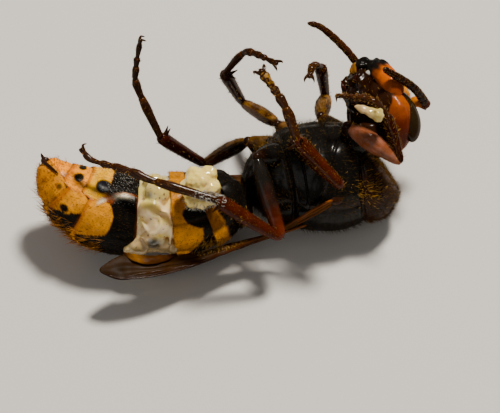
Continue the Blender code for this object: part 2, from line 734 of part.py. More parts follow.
def materials():
    made = {}
    for word, (red, green, blue, roughness) in COLOURS.items():
        material = bpy.data.materials.new(word)
        material.use_nodes = True
        shader = material.node_tree.nodes["Principled BSDF"]
        shader.inputs["Base Color"].default_value = (red, green, blue, 1)
        shader.inputs["Roughness"].default_value = roughness
        shader.inputs["Metallic"].default_value = 0.0
        made[word] = material
    return made


def bounds(parts):
    points = [vert.co for piece in parts.values() for vert in piece.data.vertices]
    low = [min(point[axis] for point in points) for axis in range(3)]
    high = [max(point[axis] for point in points) for axis in range(3)]
    return low, high


def hand_over(parts):
    """Moves the origin to the middle of the base, turns millimetres into metres and names the nodes."""
    hornet = make_collection("hornet")
    finishes = materials()
    low, high = bounds(parts)
    base = Vector(((low[0] + high[0]) / 2, (low[1] + high[1]) / 2, FLOOR))
    for name, piece in parts.items():
        piece.data.transform(Matrix.Scale(MM, 4) @ Matrix.Translation(-base))
        piece.name = name
        piece.data.name = name
        piece.data.materials.clear()
        piece.data.materials.append(finishes[finish_of(name)])
        piece.data.shade_smooth()
        hornet.objects.link(piece)
        WORKSHOP.objects.unlink(piece)
    bpy.data.collections.remove(WORKSHOP)


def build():
    parts = thorax()
    trunk = [parts["mesothorax"], parts["propodeum"]]
    parts.update(abdomen())
    clear_of(parts["abdomen_1"], [parts["propodeum"]])
    parts.update(head())
    for name in ("mesothorax", "pronotum"):
        clear_of(parts[name], [parts["head"], parts["mouthparts"]])
    for side in ("left", "right"):
        parts.update(antenna(side, [parts["head"], parts["eye_" + side]]))
    for name in LEGS:
        anchor = [parts["mesothorax"], parts["pronotum"]] if name.endswith("fore") else trunk
        parts.update(leg(name, anchor))
    parts.update(wings(trunk))
    parts.update(tissue(parts))
    hand_over(parts)


clear_scene()
WORKSHOP = make_collection("workshop")
WHOLE_FORMS = {}
build()
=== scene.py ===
"""Looks of a dead European hornet that lies on its back and right side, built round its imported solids.

Places are millimetres in the plane that a viewer sees from 55 degrees above the floor: x to the right,
up across the line of sight and toward the viewer. The belly is turned up and away. Points turn into
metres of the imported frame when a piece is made.
"""

import math

import bpy
import numpy as np
from bpy.props import FloatProperty, FloatVectorProperty, IntProperty, PointerProperty
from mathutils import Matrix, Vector, noise


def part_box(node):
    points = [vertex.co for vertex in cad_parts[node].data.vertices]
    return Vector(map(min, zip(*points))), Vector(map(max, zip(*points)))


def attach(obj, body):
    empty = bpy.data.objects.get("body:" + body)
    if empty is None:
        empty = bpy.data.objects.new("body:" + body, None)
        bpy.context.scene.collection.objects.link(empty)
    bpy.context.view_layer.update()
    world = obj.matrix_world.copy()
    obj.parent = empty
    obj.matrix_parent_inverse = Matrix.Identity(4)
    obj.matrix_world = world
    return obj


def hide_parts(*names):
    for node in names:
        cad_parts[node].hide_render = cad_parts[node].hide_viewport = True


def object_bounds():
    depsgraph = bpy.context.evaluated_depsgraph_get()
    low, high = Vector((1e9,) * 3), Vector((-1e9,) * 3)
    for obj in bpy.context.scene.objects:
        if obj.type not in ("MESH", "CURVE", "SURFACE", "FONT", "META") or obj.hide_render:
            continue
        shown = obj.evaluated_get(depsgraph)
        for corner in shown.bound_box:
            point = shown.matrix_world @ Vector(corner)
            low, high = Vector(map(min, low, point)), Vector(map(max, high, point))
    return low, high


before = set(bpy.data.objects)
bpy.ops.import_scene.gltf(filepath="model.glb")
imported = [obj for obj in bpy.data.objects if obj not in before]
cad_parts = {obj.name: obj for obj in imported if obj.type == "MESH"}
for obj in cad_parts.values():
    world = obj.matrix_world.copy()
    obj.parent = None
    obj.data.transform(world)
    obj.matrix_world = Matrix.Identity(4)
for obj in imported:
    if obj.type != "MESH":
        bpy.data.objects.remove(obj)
CAD_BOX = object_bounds()

bl_info = {
    "name": "Dead hornet",
    "version": (1, 0, 0),
    "blender": (4, 5, 0),
    "location": "3D View > Sidebar > Hornet",
    "description": "Cuticle, coat, wings and torn tissue of a hornet that lies on its back",
    "category": "Add Mesh",
}

MM = 0.001
BODY = "root"
# How far the viewer looks down, and how far the belly is rolled away from the viewer.
VIEW_TILT = math.radians(55)
ROLL = math.radians(15)
ACROSS = np.array((1.0, 0.0, 0.0))
UPWARD = np.array((0.0, math.sin(VIEW_TILT), math.cos(VIEW_TILT)))
TOWARD = np.array((0.0, -math.cos(VIEW_TILT), math.sin(VIEW_TILT)))


def seen(places):
    """Places in the viewer's plane, as points of the world in millimetres."""
    places = np.asarray(places, float)
    return places[..., :1] * ACROSS + places[..., 1:2] * UPWARD + places[..., 2:3] * TOWARD


def unit(vectors):
    """The vectors with a length of one."""
    vectors = np.asarray(vectors, float)
    return vectors / np.maximum(np.linalg.norm(vectors, axis=-1, keepdims=True), 1e-12)


# The animal's left side and back, as it lies.
BODY_LEFT = seen((0, -math.sin(ROLL), math.cos(ROLL)))
BODY_DORSAL = seen((0, -math.cos(ROLL), -math.sin(ROLL)))

# Trunk from the waist to the neck: x, up, toward, half width and half height.
TRUNK = [
    (-0.5, 1.90, 4.80, 1.0, 1.0), (0.0, 1.95, 4.65, 1.8, 1.9), (0.9, 2.10, 4.40, 2.6, 2.9),
    (1.9, 2.20, 4.20, 3.0, 3.45), (3.3, 2.50, 3.90, 3.8, 4.35), (4.6, 2.62, 3.70, 4.15, 4.65),
    (6.4, 2.65, 3.60, 4.4, 4.80), (8.2, 2.60, 3.60, 4.15, 4.65), (9.6, 2.60, 3.60, 3.55, 4.05),
    (10.4, 2.75, 3.65, 3.45, 3.95), (11.1, 3.05, 3.75, 2.75, 3.25), (11.6, 3.40, 3.80, 1.6, 2.1),
]
# x of the grooves behind and before the middle of the trunk.
WAIST_JOINT = 2.75
COLLAR_JOINT = 9.65
# Middle and half sizes of the scutellum, then the neck's course.
SCUTELLUM = ((3.4, -1.25, 2.75), (1.5, 1.7, 0.75))
NECK = [(10.5, 4.6, 3.85), (10.5, 5.8, 4.1), (10.45, 7.3, 4.4)]

# Abdomen: its midline from the waist to the tip, with half width and half height.
ABDOMEN = [
    (-0.80, 1.80, 4.90, 0.60, 0.60), (-1.20, 1.45, 5.00, 2.40, 2.40), (-2.20, 0.75, 5.10, 3.10, 3.05),
    (-4.35, -0.25, 5.15, 3.75, 3.60), (-6.96, -0.60, 5.20, 4.05, 3.80), (-9.57, -0.70, 5.25, 4.10, 3.85),
    (-12.10, -0.35, 5.30, 3.95, 3.75), (-14.30, 0.50, 5.50, 3.50, 3.40), (-15.90, 1.55, 5.80, 2.85, 2.70),
    (-17.00, 2.70, 6.10, 1.95, 1.85), (-17.65, 3.75, 6.30, 1.05, 0.95),
]
# Where each ring starts and ends on the midline, first for the plates of the back, then of the belly.
RINGS = {
    "front": [((-0.80, -2.20), (-0.80, -2.30)), ((-2.20, -3.95), (-2.30, -4.10)),
              ((-3.95, -6.75), (-4.10, -6.75))],
    "rear": [((-9.50, -14.35), (-9.50, -15.20)), ((-14.35, -16.20), (-15.20, -16.75)),
             ((-16.20, -17.65), (-16.75, -17.65))],
}
# The edge between the plates of back and belly: x of the midline and degrees from the flank.
SEAM = [(-17.7, 40), (-16.9, 30), (-16.2, 18), (-15.1, 25), (-14.2, 22), (-13.7, 23), (-12.7, 37),
        (-11.1, 46), (-9.9, 44), (-9.4, 36), (-6.7, 33), (-0.8, 35)]
STING = [(-17.6, 3.5, 6.3), (-17.8, 4.0, 6.4), (-18.0, 4.35, 6.45), (-18.1, 4.6, 6.5)]

# Head: its middle, how far the face is turned away from the viewer, and the directions to crown, face and left.
HEAD_CENTRE = seen((11.3, 7.75, 3.5))
FACE_AWAY = math.radians(35)
CROWN = unit(seen((0.37, -0.929, 0)))
FACE = unit(seen((0.929, 0.37, 0)) * math.cos(FACE_AWAY) - TOWARD * math.sin(FACE_AWAY))
HEAD_LEFT = unit(np.cross(CROWN, FACE))
# Half depth, width and height of the head, and its depth behind the middle; then the left eye's place and
# half sizes in the head's directions.
HEAD_HALF = (2.3, 3.9, 3.5)
HEAD_BACK = 1.8
EYE_PLACE = (0.85, 2.7, 0.85)
EYE_HALF = (1.0, 1.05, 2.45)

# Legs: joints from the hip to the foot, and the radius of thigh, shin and foot.
LEGS = {
    "left_fore": {
        "hip": (9.2, 5.3, 5.6), "trochanter": (8.4, 6.9, 7.5), "knee": (13.0, 3.75, 8.7),
        "ankle": (11.75, 7.9, 9.2), "foot": [(10.4, 9.2, 9.5), (7.9, 9.5, 9.7)],
        "radii": (0.95, 0.55, 0.30), "spurs": [(-0.8, 0.3, 0.5)],
    },
    "left_mid": {
        "hip": (4.9, 5.0, 5.6), "trochanter": (3.7, 5.5, 7.8), "knee": (7.95, 1.65, 10.3),
        "ankle": (4.0, 5.75, 11.6), "foot": [(3.2, 8.1, 11.5), (2.3, 9.7, 11.2), (1.1, 11.4, 10.6)],
        "radii": (0.70, 0.60, 0.32), "spurs": [(-1.0, 0.1, 0.3), (-0.5, 0.7, 0.6)],
    },
    "left_hind": {
        "hip": (2.4, 4.4, 5.6), "trochanter": (0.6, 4.3, 8.2), "knee": (2.7, -2.75, 8.6),
        "ankle": (-2.75, 0.55, 11.4),
        "foot": [(-8.3, 2.2, 11.1), (-10.3, 3.05, 10.7), (-13.5, 3.95, 9.8), (-14.3, 4.7, 9.5)],
        "radii": (0.80, 0.60, 0.36), "spurs": [(-0.3, -1.0, 0.3), (-0.2, -0.6, 0.9)],
    },
    "right_fore": {
        "hip": (8.0, 5.6, 2.6), "trochanter": (6.2, 7.9, 2.2), "knee": (6.7, 9.6, -2.6),
        "ankle": (6.2, 12.2, 1.9), "foot": [(5.5, 12.3, 3.6), (5.2, 11.4, 5.3)],
        "radii": (0.80, 0.55, 0.30), "spurs": [(-0.2, -0.6, 0.8)],
    },
    "right_mid": {
        "hip": (4.6, 5.3, 3.2), "trochanter": (2.4, 7.2, 3.6), "knee": (-0.6, 9.1, -1.6),
        "ankle": (-2.2, 11.6, 4.4), "foot": [(-0.7, 13.2, 6.3), (0.2, 13.3, 7.3), (2.1, 12.4, 9.0)],
        "radii": (0.70, 0.55, 0.30), "spurs": [(1.0, 0.25, 0.2), (0.7, -0.2, 0.8)],
    },
    "right_hind": {
        "hip": (2.4, 4.6, 3.4), "trochanter": (-0.2, 5.75, 3.4), "knee": (-3.95, 3.75, -1.7),
        "ankle": (-7.8, 6.05, 4.6), "foot": [(-9.75, 10.3, 6.6), (-9.85, 12.0, 7.4), (-9.5, 14.1, 8.4)],
        "radii": (0.72, 0.56, 0.34), "spurs": [(0.75, 0.65, 0.3), (0.25, 0.9, 0.5)],
    },
}
# Shares of the foot's length that its five joints take.
TARSOMERES = (0.44, 0.19, 0.13, 0.09, 0.15)

# Antennae: socket, how far the middle of the scape rises off the line to the elbow, and the bends of the whip.
ANTENNAE = {
    "left": {"socket": (13.6, 8.6, 3.2), "rise": (0.0, 0.5, 0.1),
             "whip": [(15.5, 8.75, 3.7), (14.15, 10.35, 5.7), (11.5, 11.95, 7.5)]},
    "right": {"socket": (12.4, 8.4, 1.4), "rise": (0.0, 0.0, 0.0),
              "whip": [(11.2, 10.1, -0.6), (9.15, 12.95, 0.1), (7.9, 14.35, 0.5), (6.65, 15.45, 0.9),
                       (5.9, 15.9, 1.2), (5.05, 16.1, 1.4)]},
}
SCAPE_RADIUS = 0.48
FLAGELLUM_RADIUS = 0.34
FLAGELLUM_JOINTS = 11
WHIP_SIDES = 28

# Wings: the front edge and the folded inner edge, both from root to tip. The left forewing is drawn in the
# viewer's plane and the others over the floor; FLAT_WING is the height at which the right forewing lies.
FLAT_WING = 0.25
LEFT_FOREWING = seen([
    [(7.6, 0.9, 7.2), (5.6, -0.1, 8.1), (2.9, -1.8, 7.0), (-0.9, -3.5, 6.9), (-4.4, -4.95, 7.6),
     (-8.0, -5.95, 8.9), (-11.0, -6.3, 9.6), (-13.0, -6.05, 9.9)],
    [(7.4, 0.2, 6.9), (5.4, -0.9, 7.5), (2.7, -2.2, 6.0), (-0.9, -3.25, 5.7), (-4.4, -4.0, 6.6),
     (-8.0, -4.25, 7.9), (-10.9, -4.2, 8.4), (-12.9, -4.85, 9.0)],
])
LEFT_HINDWING = np.array([
    [(5.6, -3.9, 3.6), (4.2, -4.4, 3.0), (2.0, -4.7, 2.2), (-1.2, -5.4, 1.2),
     (-4.4, -6.5, 0.9), (-8.4, -7.8, 1.0)],
    [(5.4, -3.6, 3.1), (4.0, -4.0, 2.4), (2.0, -4.0, 1.6), (-1.2, -4.3, 0.75),
     (-4.4, -5.2, 0.4), (-8.0, -6.5, 0.5)],
])
RIGHT_FOREWING = np.array([
    [(7.6, 2.6, 1.8), (5.6, 3.1, 0.7), (2.5, 2.7, FLAT_WING), (-2.0, 2.5, FLAT_WING),
     (-7.0, 2.4, FLAT_WING), (-11.5, 2.0, FLAT_WING), (-13.6, 1.4, FLAT_WING)],
    [(7.2, 1.9, 1.5), (5.2, 2.0, 0.5), (2.3, 0.9, FLAT_WING), (-2.0, -0.4, FLAT_WING),
     (-7.0, -0.9, FLAT_WING), (-11.5, -0.7, FLAT_WING), (-13.3, 0.2, FLAT_WING)],
])
RIGHT_HINDWING = np.array([
    [(6.0, 3.2, 2.1), (4.4, 3.3, 1.5), (2.0, 2.8, 1.15), (-2.0, 2.5, 1.1), (-6.0, 2.4, 1.1), (-9.2, 1.8, 1.1)],
    [(5.6, 2.7, 1.9), (4.0, 2.6, 1.35), (2.0, 1.7, 1.1), (-2.0, 1.1, 1.1), (-6.0, 0.9, 1.1), (-9.0, 1.1, 1.1)],
])

# Pale tissue: lumps as x, up, toward and radius.
TEAR_LUMPS = [
    (-8.1, 1.1, 8.3, 1.15), (-8.5, -0.3, 8.6, 1.10), (-7.8, -1.5, 8.5, 1.25), (-8.3, -2.6, 8.0, 1.05),
    (-9.6, -3.3, 7.4, 1.00), (-7.4, -3.2, 7.5, 0.85), (-8.3, 1.9, 7.3, 1.00), (-10.5, -3.7, 7.5, 0.50),
    (-6.7, -3.6, 7.3, 0.60),
]
# Folds of the tissue in the tear, with their radius.
TEAR_FOLDS = [
    ([(-8.45, -0.8, 9.45), (-7.85, -0.95, 9.65), (-7.6, -1.55, 9.75), (-8.0, -2.15, 9.55),
      (-8.6, -2.4, 9.2)], 0.20),
    ([(-9.4, 0.25, 8.9), (-8.75, -0.4, 9.45), (-7.65, -0.5, 9.4), (-6.95, -0.7, 9.1)], 0.17),
    ([(-9.3, -1.3, 8.9), (-8.9, -1.9, 9.15), (-8.2, -2.9, 8.95)], 0.16),
    ([(-6.95, -1.2, 9.1), (-6.85, -2.2, 8.9), (-6.9, -3.3, 8.2)], 0.20),
    ([(-10.6, -3.55, 7.8), (-9.7, -2.75, 8.3), (-9.0, -2.6, 8.7)], 0.14),
]
# Lip of a torn plate below the tear: x, up, toward, half width and half thickness.
FLAP = [
    (-10.95, -4.00, 8.25, 0.06, 0.04), (-10.2, -4.30, 8.55, 0.28, 0.09), (-9.3, -4.55, 8.62, 0.44, 0.12),
    (-8.3, -4.58, 8.48, 0.42, 0.12), (-7.3, -4.42, 8.10, 0.30, 0.10), (-6.3, -4.08, 7.60, 0.08, 0.05),
]
# The clot on the hind leg, then the drop at the fore foot.
LEG_LUMPS = [
    (-4.35, 2.00, 10.45, 1.25), (-3.45, 1.60, 10.50, 0.95), (-5.40, 1.55, 10.30, 0.75),
    (-4.90, 0.70, 10.30, 0.80), (-4.15, 0.55, 10.45, 0.80), (-3.40, 0.65, 10.60, 0.65),
    (-4.80, 2.75, 10.30, 0.72), (-3.50, 2.70, 10.40, 0.78),
]
FORE_DROP = [
    (8.95, 8.60, 10.0, 0.06), (9.3, 8.50, 10.0, 0.27), (9.9, 8.25, 10.1, 0.38), (10.5, 8.00, 10.2, 0.46),
    (11.0, 7.85, 10.2, 0.60), (11.35, 7.80, 10.2, 0.46), (11.52, 7.78, 10.2, 0.10),
]


def head_place(places):
    """Places before, left of and towards the crown from the middle of the head, in millimetres."""
    places = np.asarray(places, float)
    return HEAD_CENTRE + places[..., :1] * FACE + places[..., 1:2] * HEAD_LEFT + places[..., 2:3] * CROWN


EYE_CORNERS = np.array(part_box("eye_left"))
ORIGIN = EYE_CORNERS.mean(axis=0) - head_place(EYE_PLACE) * MM


def metres(points):
    """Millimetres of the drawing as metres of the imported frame, with nothing below the floor."""
    points = np.asarray(points, float) * MM + ORIGIN
    points[..., 2] = np.maximum(points[..., 2], 0.0)
    return points


def measure(name, description, value):
    return FloatProperty(name=name, description=description, default=value, unit="LENGTH")


class HornetSizes(bpy.types.PropertyGroup):
    coat_count: FloatProperty(
        name="Coat density", description="Share of the full number of hairs", default=1.0, min=0.05, max=1.0)
    hair_radius: measure("Hair radius", "Radius of a fine hair at its root", 0.000012)
    bristle_radius: measure("Bristle radius", "Radius of a stout bristle at its root", 0.000022)
    vein_radius: measure("Vein radius", "Radius of the front vein of a wing", 0.00011)
    membrane: measure("Membrane", "Thickness of the wing membrane", 0.00007)
    leg_sides: IntProperty(
        name="Leg sides", description="Points round each length of a leg", default=20, min=8)
    view_distance: measure("Camera distance", "From the camera to the animal", 0.4)
    view_width: measure("Framed width", "Width of what the camera frames", 0.043478)


def colour(name, description, value):
    return FloatVectorProperty(name=name, description=description, default=value, subtype="COLOR", min=0, max=1)


class HornetColours(bpy.types.PropertyGroup):
    black: colour("Black", "Cuticle of the trunk and of the spots", (0.0050, 0.0042, 0.0034))
    brown: colour("Brown", "Dark brown cuticle", (0.022, 0.0072, 0.0028))
    red: colour("Red-brown", "Cuticle of the legs", (0.072, 0.0110, 0.0034))
    dusty: colour("Dusty red", "Pale bloom on the left fore thigh", (0.235, 0.086, 0.050))
    amber: colour("Amber", "Lighter cuticle of feet and joints", (0.24, 0.070, 0.014))
    orange: colour("Orange", "Cheeks, jaws and seams", (0.50, 0.098, 0.0045))
    yellow: colour("Yellow", "Yellow plates of the abdomen", (0.74, 0.285, 0.011))
    eye: colour("Eye", "Compound eyes", (0.017, 0.0090, 0.0022))
    membrane: colour("Membrane", "Wing membrane", (0.040, 0.018, 0.006))
    # Gold is also the colour of painted glints on the feet.
    gold: colour("Gold", "Fine hairs", (0.55, 0.30, 0.075))
    cream: colour("Cream", "Pale tissue", (0.86, 0.65, 0.17))
    rose: colour("Rose", "Warmer tissue in the tear", (0.93, 0.64, 0.28))
    moss: colour("Moss", "Greener tissue in the tear", (0.46, 0.44, 0.15))
    # Frost is also the colour of painted glints on the black plates and the teeth, and of the painted highlight
    # along the abdomen's seam.
    frost: colour("Frost", "Silvery fibres on the hind leg", (0.85, 0.83, 0.76))


def shade(word):
    """A colour of the panel."""
    return np.array(getattr(bpy.context.scene.hornet_colours, word))


def size(word):
    """A size of the panel in millimetres."""
    return getattr(bpy.context.scene.hornet_sizes, word) / MM


def step(value, start, end):
    """0 before start, 1 after end and a soft change between; end may lie before start."""
    share = np.clip((np.asarray(value, float) - start) / (end - start), 0, 1)
    return share * share * (3 - 2 * share)


def blend(first, second, share):
    """Colours that go from the first to the second by a share for each point."""
    share = np.asarray(share, float)[..., None]
    return first * (1 - share) + second * share


def crease(value, centre, half):
    """1 at the centre, falling off smoothly on both sides."""
    return np.exp(-(((value - centre) / half) ** 2))


def spot(x, angle, centre, half, soft=0.15):
    """1 inside an oval mark on the skin, 0 outside it."""
    reach = np.hypot((x - centre[0]) / half[0], (angle - centre[1]) / half[1])
    return 1 - step(reach, 1 - soft, 1 + soft)


def cloud(points, scale, seed=0.0):
    """Smooth noise from -1 to 1 at each point; scale is the size of its lumps in millimetres."""
    flat = np.reshape(points, (-1, 3)) / scale + seed
    return np.array([noise.noise(Vector(place)) for place in flat]).reshape(np.shape(points)[:-1])


def smooth(points, steps):
    """Rows on a smooth curve through the given rows."""
    points = np.asarray(points, float)
    padded = np.vstack([2 * points[0] - points[1], points, 2 * points[-1] - points[-2]])
    t = np.linspace(0, 1, steps, endpoint=False)[:, None]
    pieces = [
        b + (c - a) * t / 2 + (2 * a - 5 * b + 4 * c - d) * t ** 2 / 2 + (3 * b - a - 3 * c + d) * t ** 3 / 2
        for a, b, c, d in zip(padded, padded[1:], padded[2:], padded[3:])
    ]
    return np.vstack(pieces + [points[-1:]])


def even(path, count):
    """The path cut into rows at even distances."""
    lengths = np.concatenate([[0], np.cumsum(np.linalg.norm(np.diff(path[:, :3], axis=0), axis=1))])
    goals = np.linspace(0, lengths[-1], count)
    return np.stack([np.interp(goals, lengths, column) for column in path.T], axis=1)


class Form:
    """Points in millimetres, faces, and for each point a place on the unwrap, a colour and a lie of hair."""

    def __init__(self, points, faces, places, tint, lie=(0, 0, 0)):
        self.points = np.asarray(points, float)
        self.faces = faces
        self.places = np.asarray(places, float)
        self.tint = np.array(np.broadcast_to(tint, self.points.shape))
        self.lie = np.array(np.broadcast_to(lie, self.points.shape), float)

    def paint(self, colour, share):
        """Lays a colour over the form's own, by a share for each point."""
        self.tint = blend(self.tint, colour, share)

    def swell(self, amount):
        """Moves each point out along its normal, by millimetres."""
        self.points = self.points + normals(self) * amount[:, None]


def join(forms):
    """Several forms as one, with their unwraps side by side."""
    faces = []
    start = 0
    for form in forms:
        faces += [[index + start for index in face] for face in form.faces]
        start += len(form.points)
    places = [(form.places + (number, 0)) / (len(forms), 1) for number, form in enumerate(forms)]
    stacked = [np.vstack([getattr(form, word) for form in forms]) for word in ("points", "tint", "lie")]
    return Form(stacked[0], faces, np.vstack(places), stacked[1], stacked[2])


def closed(rows, tint=(0, 0, 0)):
    """A closed form from rings of points, with both ends capped."""
    count, sides = rows.shape[:2]
    points = np.vstack([rows.reshape(-1, 3), rows[0].mean(axis=0), rows[-1].mean(axis=0)])
    faces = []
    for row in range(count - 1):
        for side in range(sides):
            following = (side + 1) % sides
            faces.append([row * sides + side, row * sides + following,
                          (row + 1) * sides + following, (row + 1) * sides + side])
    for side in range(sides):
        following = (side + 1) % sides
        faces.append([count * sides, following, side])
        faces.append([count * sides + 1, (count - 1) * sides + side, (count - 1) * sides + following])
    v, u = np.meshgrid(np.linspace(0, 1, count), np.arange(sides) / sides, indexing="ij")
    places = np.vstack([np.stack([u.ravel(), v.ravel()], axis=1), [(0.5, 0)], [(0.5, 1)]])
    if np.shape(tint) == rows.shape:
        tint = np.vstack([tint.reshape(-1, 3), tint[0].mean(axis=0), tint[-1].mean(axis=0)])
    lie = unit(np.gradient(rows, axis=0)).reshape(-1, 3)
    lie = np.vstack([lie, lie[:1], lie[-1:]])
    return outward(Form(points, faces, places, tint, lie))


def outward(form):
    """Turns the faces of a closed form so that they point out."""
    corners = (form.points - form.points.mean(axis=0))[[(*face[:3], face[-1]) for face in form.faces]]
    first, second = np.cross(corners[:, 1], corners[:, 2]), np.cross(corners[:, 2], corners[:, 3])
    if np.einsum("ij,ij->", corners[:, 0], first + second) < 0:
        form.faces = [face[::-1] for face in form.faces]
    return form


def ring_rows(path, halves, side, sides):
    """Rings of points round a path; halves are the radius across side and across that."""
    way = unit(np.gradient(path, axis=0))
    across = unit(side - way * (way @ side)[:, None])
    rise = np.cross(way, across)
    angle = 2 * math.pi * (np.arange(sides) + 0.5) / sides
    wide = halves[:, 0, None, None] * np.cos(angle)[None, :, None]
    high = halves[:, 1, None, None] * np.sin(angle)[None, :, None]
    return path[:, None] + across[:, None] * wide + rise[:, None] * high


def rod(places, radii, sides=10, steps=6, side=None, tint=(0, 0, 0), flat=1.0):
    """A round or flattened tapering rod through places of the world."""
    stations = np.hstack([np.asarray(places, float), np.asarray(radii, float)[:, None]])
    stations = smooth(stations, steps)
    if side is None:
        side = unit(np.cross(stations[-1, :3] - stations[0, :3], (0.31, 0.57, 0.76)))
    halves = np.stack([stations[:, 3], stations[:, 3] * flat], axis=1)
    return closed(ring_rows(stations[:, :3], halves, side, sides), tint)


def ball(centre, radii, axes=None, columns=40, rows=28, tint=(0, 0, 0), shape=None):
    """An ellipsoid; axes are its three directions and shape changes its unit points."""
    axes = np.eye(3) if axes is None else np.asarray(axes)
    polar = math.pi * (np.arange(rows) + 0.5) / rows
    turn = 2 * math.pi * np.arange(columns) / columns
    around = np.stack(
        [np.outer(np.sin(polar), np.cos(turn)), np.outer(np.sin(polar), np.sin(turn)),
         np.outer(np.cos(polar), np.ones(columns))], axis=-1)
    around = shape(around) if shape else around
    return closed(centre + (around * np.asarray(radii)) @ axes, tint)


def melted(form, voxel, rounds=4):
    """One smooth closed skin round forms that cross, from a fine remesh in millimetres."""
    mesh = bpy.data.meshes.new("melted")
    mesh.from_pydata(form.points.tolist(), [], form.faces)
    holder = bpy.data.objects.new("melted", mesh)
    bpy.context.scene.collection.objects.link(holder)
    remesh = holder.modifiers.new("remesh", "REMESH")
    remesh.mode = "VOXEL"
    remesh.voxel_size = voxel
    relax = holder.modifiers.new("relax", "SMOOTH")
    relax.factor = 0.5
    relax.iterations = rounds
    bpy.context.view_layer.update()
    done = bpy.data.meshes.new_from_object(holder.evaluated_get(bpy.context.evaluated_depsgraph_get()))
    points = np.empty(len(done.vertices) * 3)
    done.vertices.foreach_get("co", points)
    points = points.reshape(-1, 3)
    faces = [list(face.vertices) for face in done.polygons]
    bpy.data.objects.remove(holder, do_unlink=True)
    bpy.data.meshes.remove(mesh)
    bpy.data.meshes.remove(done)
    low, high = points.min(axis=0), points.max(axis=0)
    middle = (low + high) / 2
    turn = np.arctan2(points[:, 1] - middle[1], points[:, 2] - middle[2]) / (2 * math.pi) + 0.5
    places = np.stack([turn, (points[:, 0] - low[0]) / (high[0] - low[0])], axis=1)
    return outward(Form(points, faces, places, (0, 0, 0)))


def normals(form):
    """The outward direction at each point of a form."""
    corners = form.points[[face[:3] for face in form.faces]]
    facing = np.cross(corners[:, 1] - corners[:, 0], corners[:, 2] - corners[:, 0])
    total = np.zeros_like(form.points)
    for corner in range(3):
        np.add.at(total, [face[corner] for face in form.faces], facing)
    return unit(total)


def show(name, form, material, replaced=()):
    """Makes a form into a piece of the scene that stands for the given nodes."""
    mesh = bpy.data.meshes.new(name)
    mesh.from_pydata(metres(form.points).tolist(), [], form.faces)
    tint = mesh.color_attributes.new("tint", "FLOAT_COLOR", "POINT")
    tint.data.foreach_set("color", np.hstack([form.tint, np.ones((len(form.points), 1))]).ravel())
    mesh.shade_smooth()
    piece = bpy.data.objects.new(name, mesh)
    bpy.context.scene.collection.objects.link(piece)
    mesh.materials.append(material)
    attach(piece, BODY)
    if replaced:
        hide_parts(*replaced)
    return piece


def made_finish(name, roughness, grain, relief, mottling=0.2, coat=0.0, soft=0.0, alpha=1.0, pits=0.5,
                specks=0.0, shine=0.0, gloss=0.2, wet=1.5):
    """A new finish that takes its colour from the piece.

    grain is the size of its relief and specks that of its dark dots, in millimetres; mottling, pits and
    soft are shares, and coat, gloss and wet are the weight, roughness and refraction of its clear coat.
    """
    made = bpy.data.materials.new(name)
    made.use_nodes = True
    nodes, links = made.node_tree.nodes, made.node_tree.links

    def fill(node, sockets):
        """Sets each named input of a node, or links it where the value is another node's output."""
        for socket, value in sockets.items():
            if isinstance(value, bpy.types.NodeSocket):
                links.new(value, node.inputs[socket])
            else:
                node.inputs[socket].default_value = value
        return node

    place = nodes.new("ShaderNodeTexCoord").outputs["Object"]

    def noise_at(lump, detail):
        sockets = {"Vector": place, "Scale": 1 / (lump * MM), "Detail": detail}
        return fill(nodes.new("ShaderNodeTexNoise"), sockets).outputs["Fac"]

    def cells_at(lump):
        sockets = {"Vector": place, "Scale": 1 / (lump * MM)}
        return fill(nodes.new("ShaderNodeTexVoronoi"), sockets).outputs["Distance"]

    def ranged(value, low, high, start=0.25, end=0.75):
        sockets = {"Value": value, "From Min": start, "From Max": end, "To Min": low, "To Max": high}
        return fill(nodes.new("ShaderNodeMapRange"), sockets).outputs["Result"]

    tint = nodes.new("ShaderNodeAttribute")
    tint.attribute_name = "tint"
    value = ranged(noise_at(grain * 9, 4), 1 - mottling, 1 + mottling)
    if specks:
        both = nodes.new("ShaderNodeMath")
        both.operation = "MULTIPLY"
        fill(both, {0: value, 1: ranged(cells_at(specks), 0.35, 1.0, 0.10, 0.28)})
        value = both.outputs["Value"]
    shift = fill(nodes.new("ShaderNodeHueSaturation"), {
        "Color": tint.outputs["Color"], "Value": value,
        "Saturation": ranged(noise_at(grain * 5, 2), 1 - mottling / 6, 1 + mottling / 2),
    })
    mixed = fill(nodes.new("ShaderNodeMix"), {
        "Factor": pits, "A": noise_at(grain, 3), "B": cells_at(grain * 1.6),
    })
    bump = fill(nodes.new("ShaderNodeBump"), {
        "Strength": relief, "Distance": grain * 0.35 * MM, "Height": mixed.outputs["Result"],
    })
    shader = fill(nodes["Principled BSDF"], {
        "Base Color": shift.outputs["Color"], "Normal": bump.outputs["Normal"],
        "Roughness": ranged(noise_at(grain * 3, 3), roughness * 0.75, roughness * 1.3),
        "Specular IOR Level": shine, "Coat Weight": coat, "Coat Roughness": gloss, "Coat IOR": wet,
        "Alpha": alpha,
    })
    if soft:
        fill(shader, {"Subsurface Weight": soft, "Subsurface Radius": (1.0, 0.75, 0.4),
                      "Subsurface Scale": 0.0007})
    return made


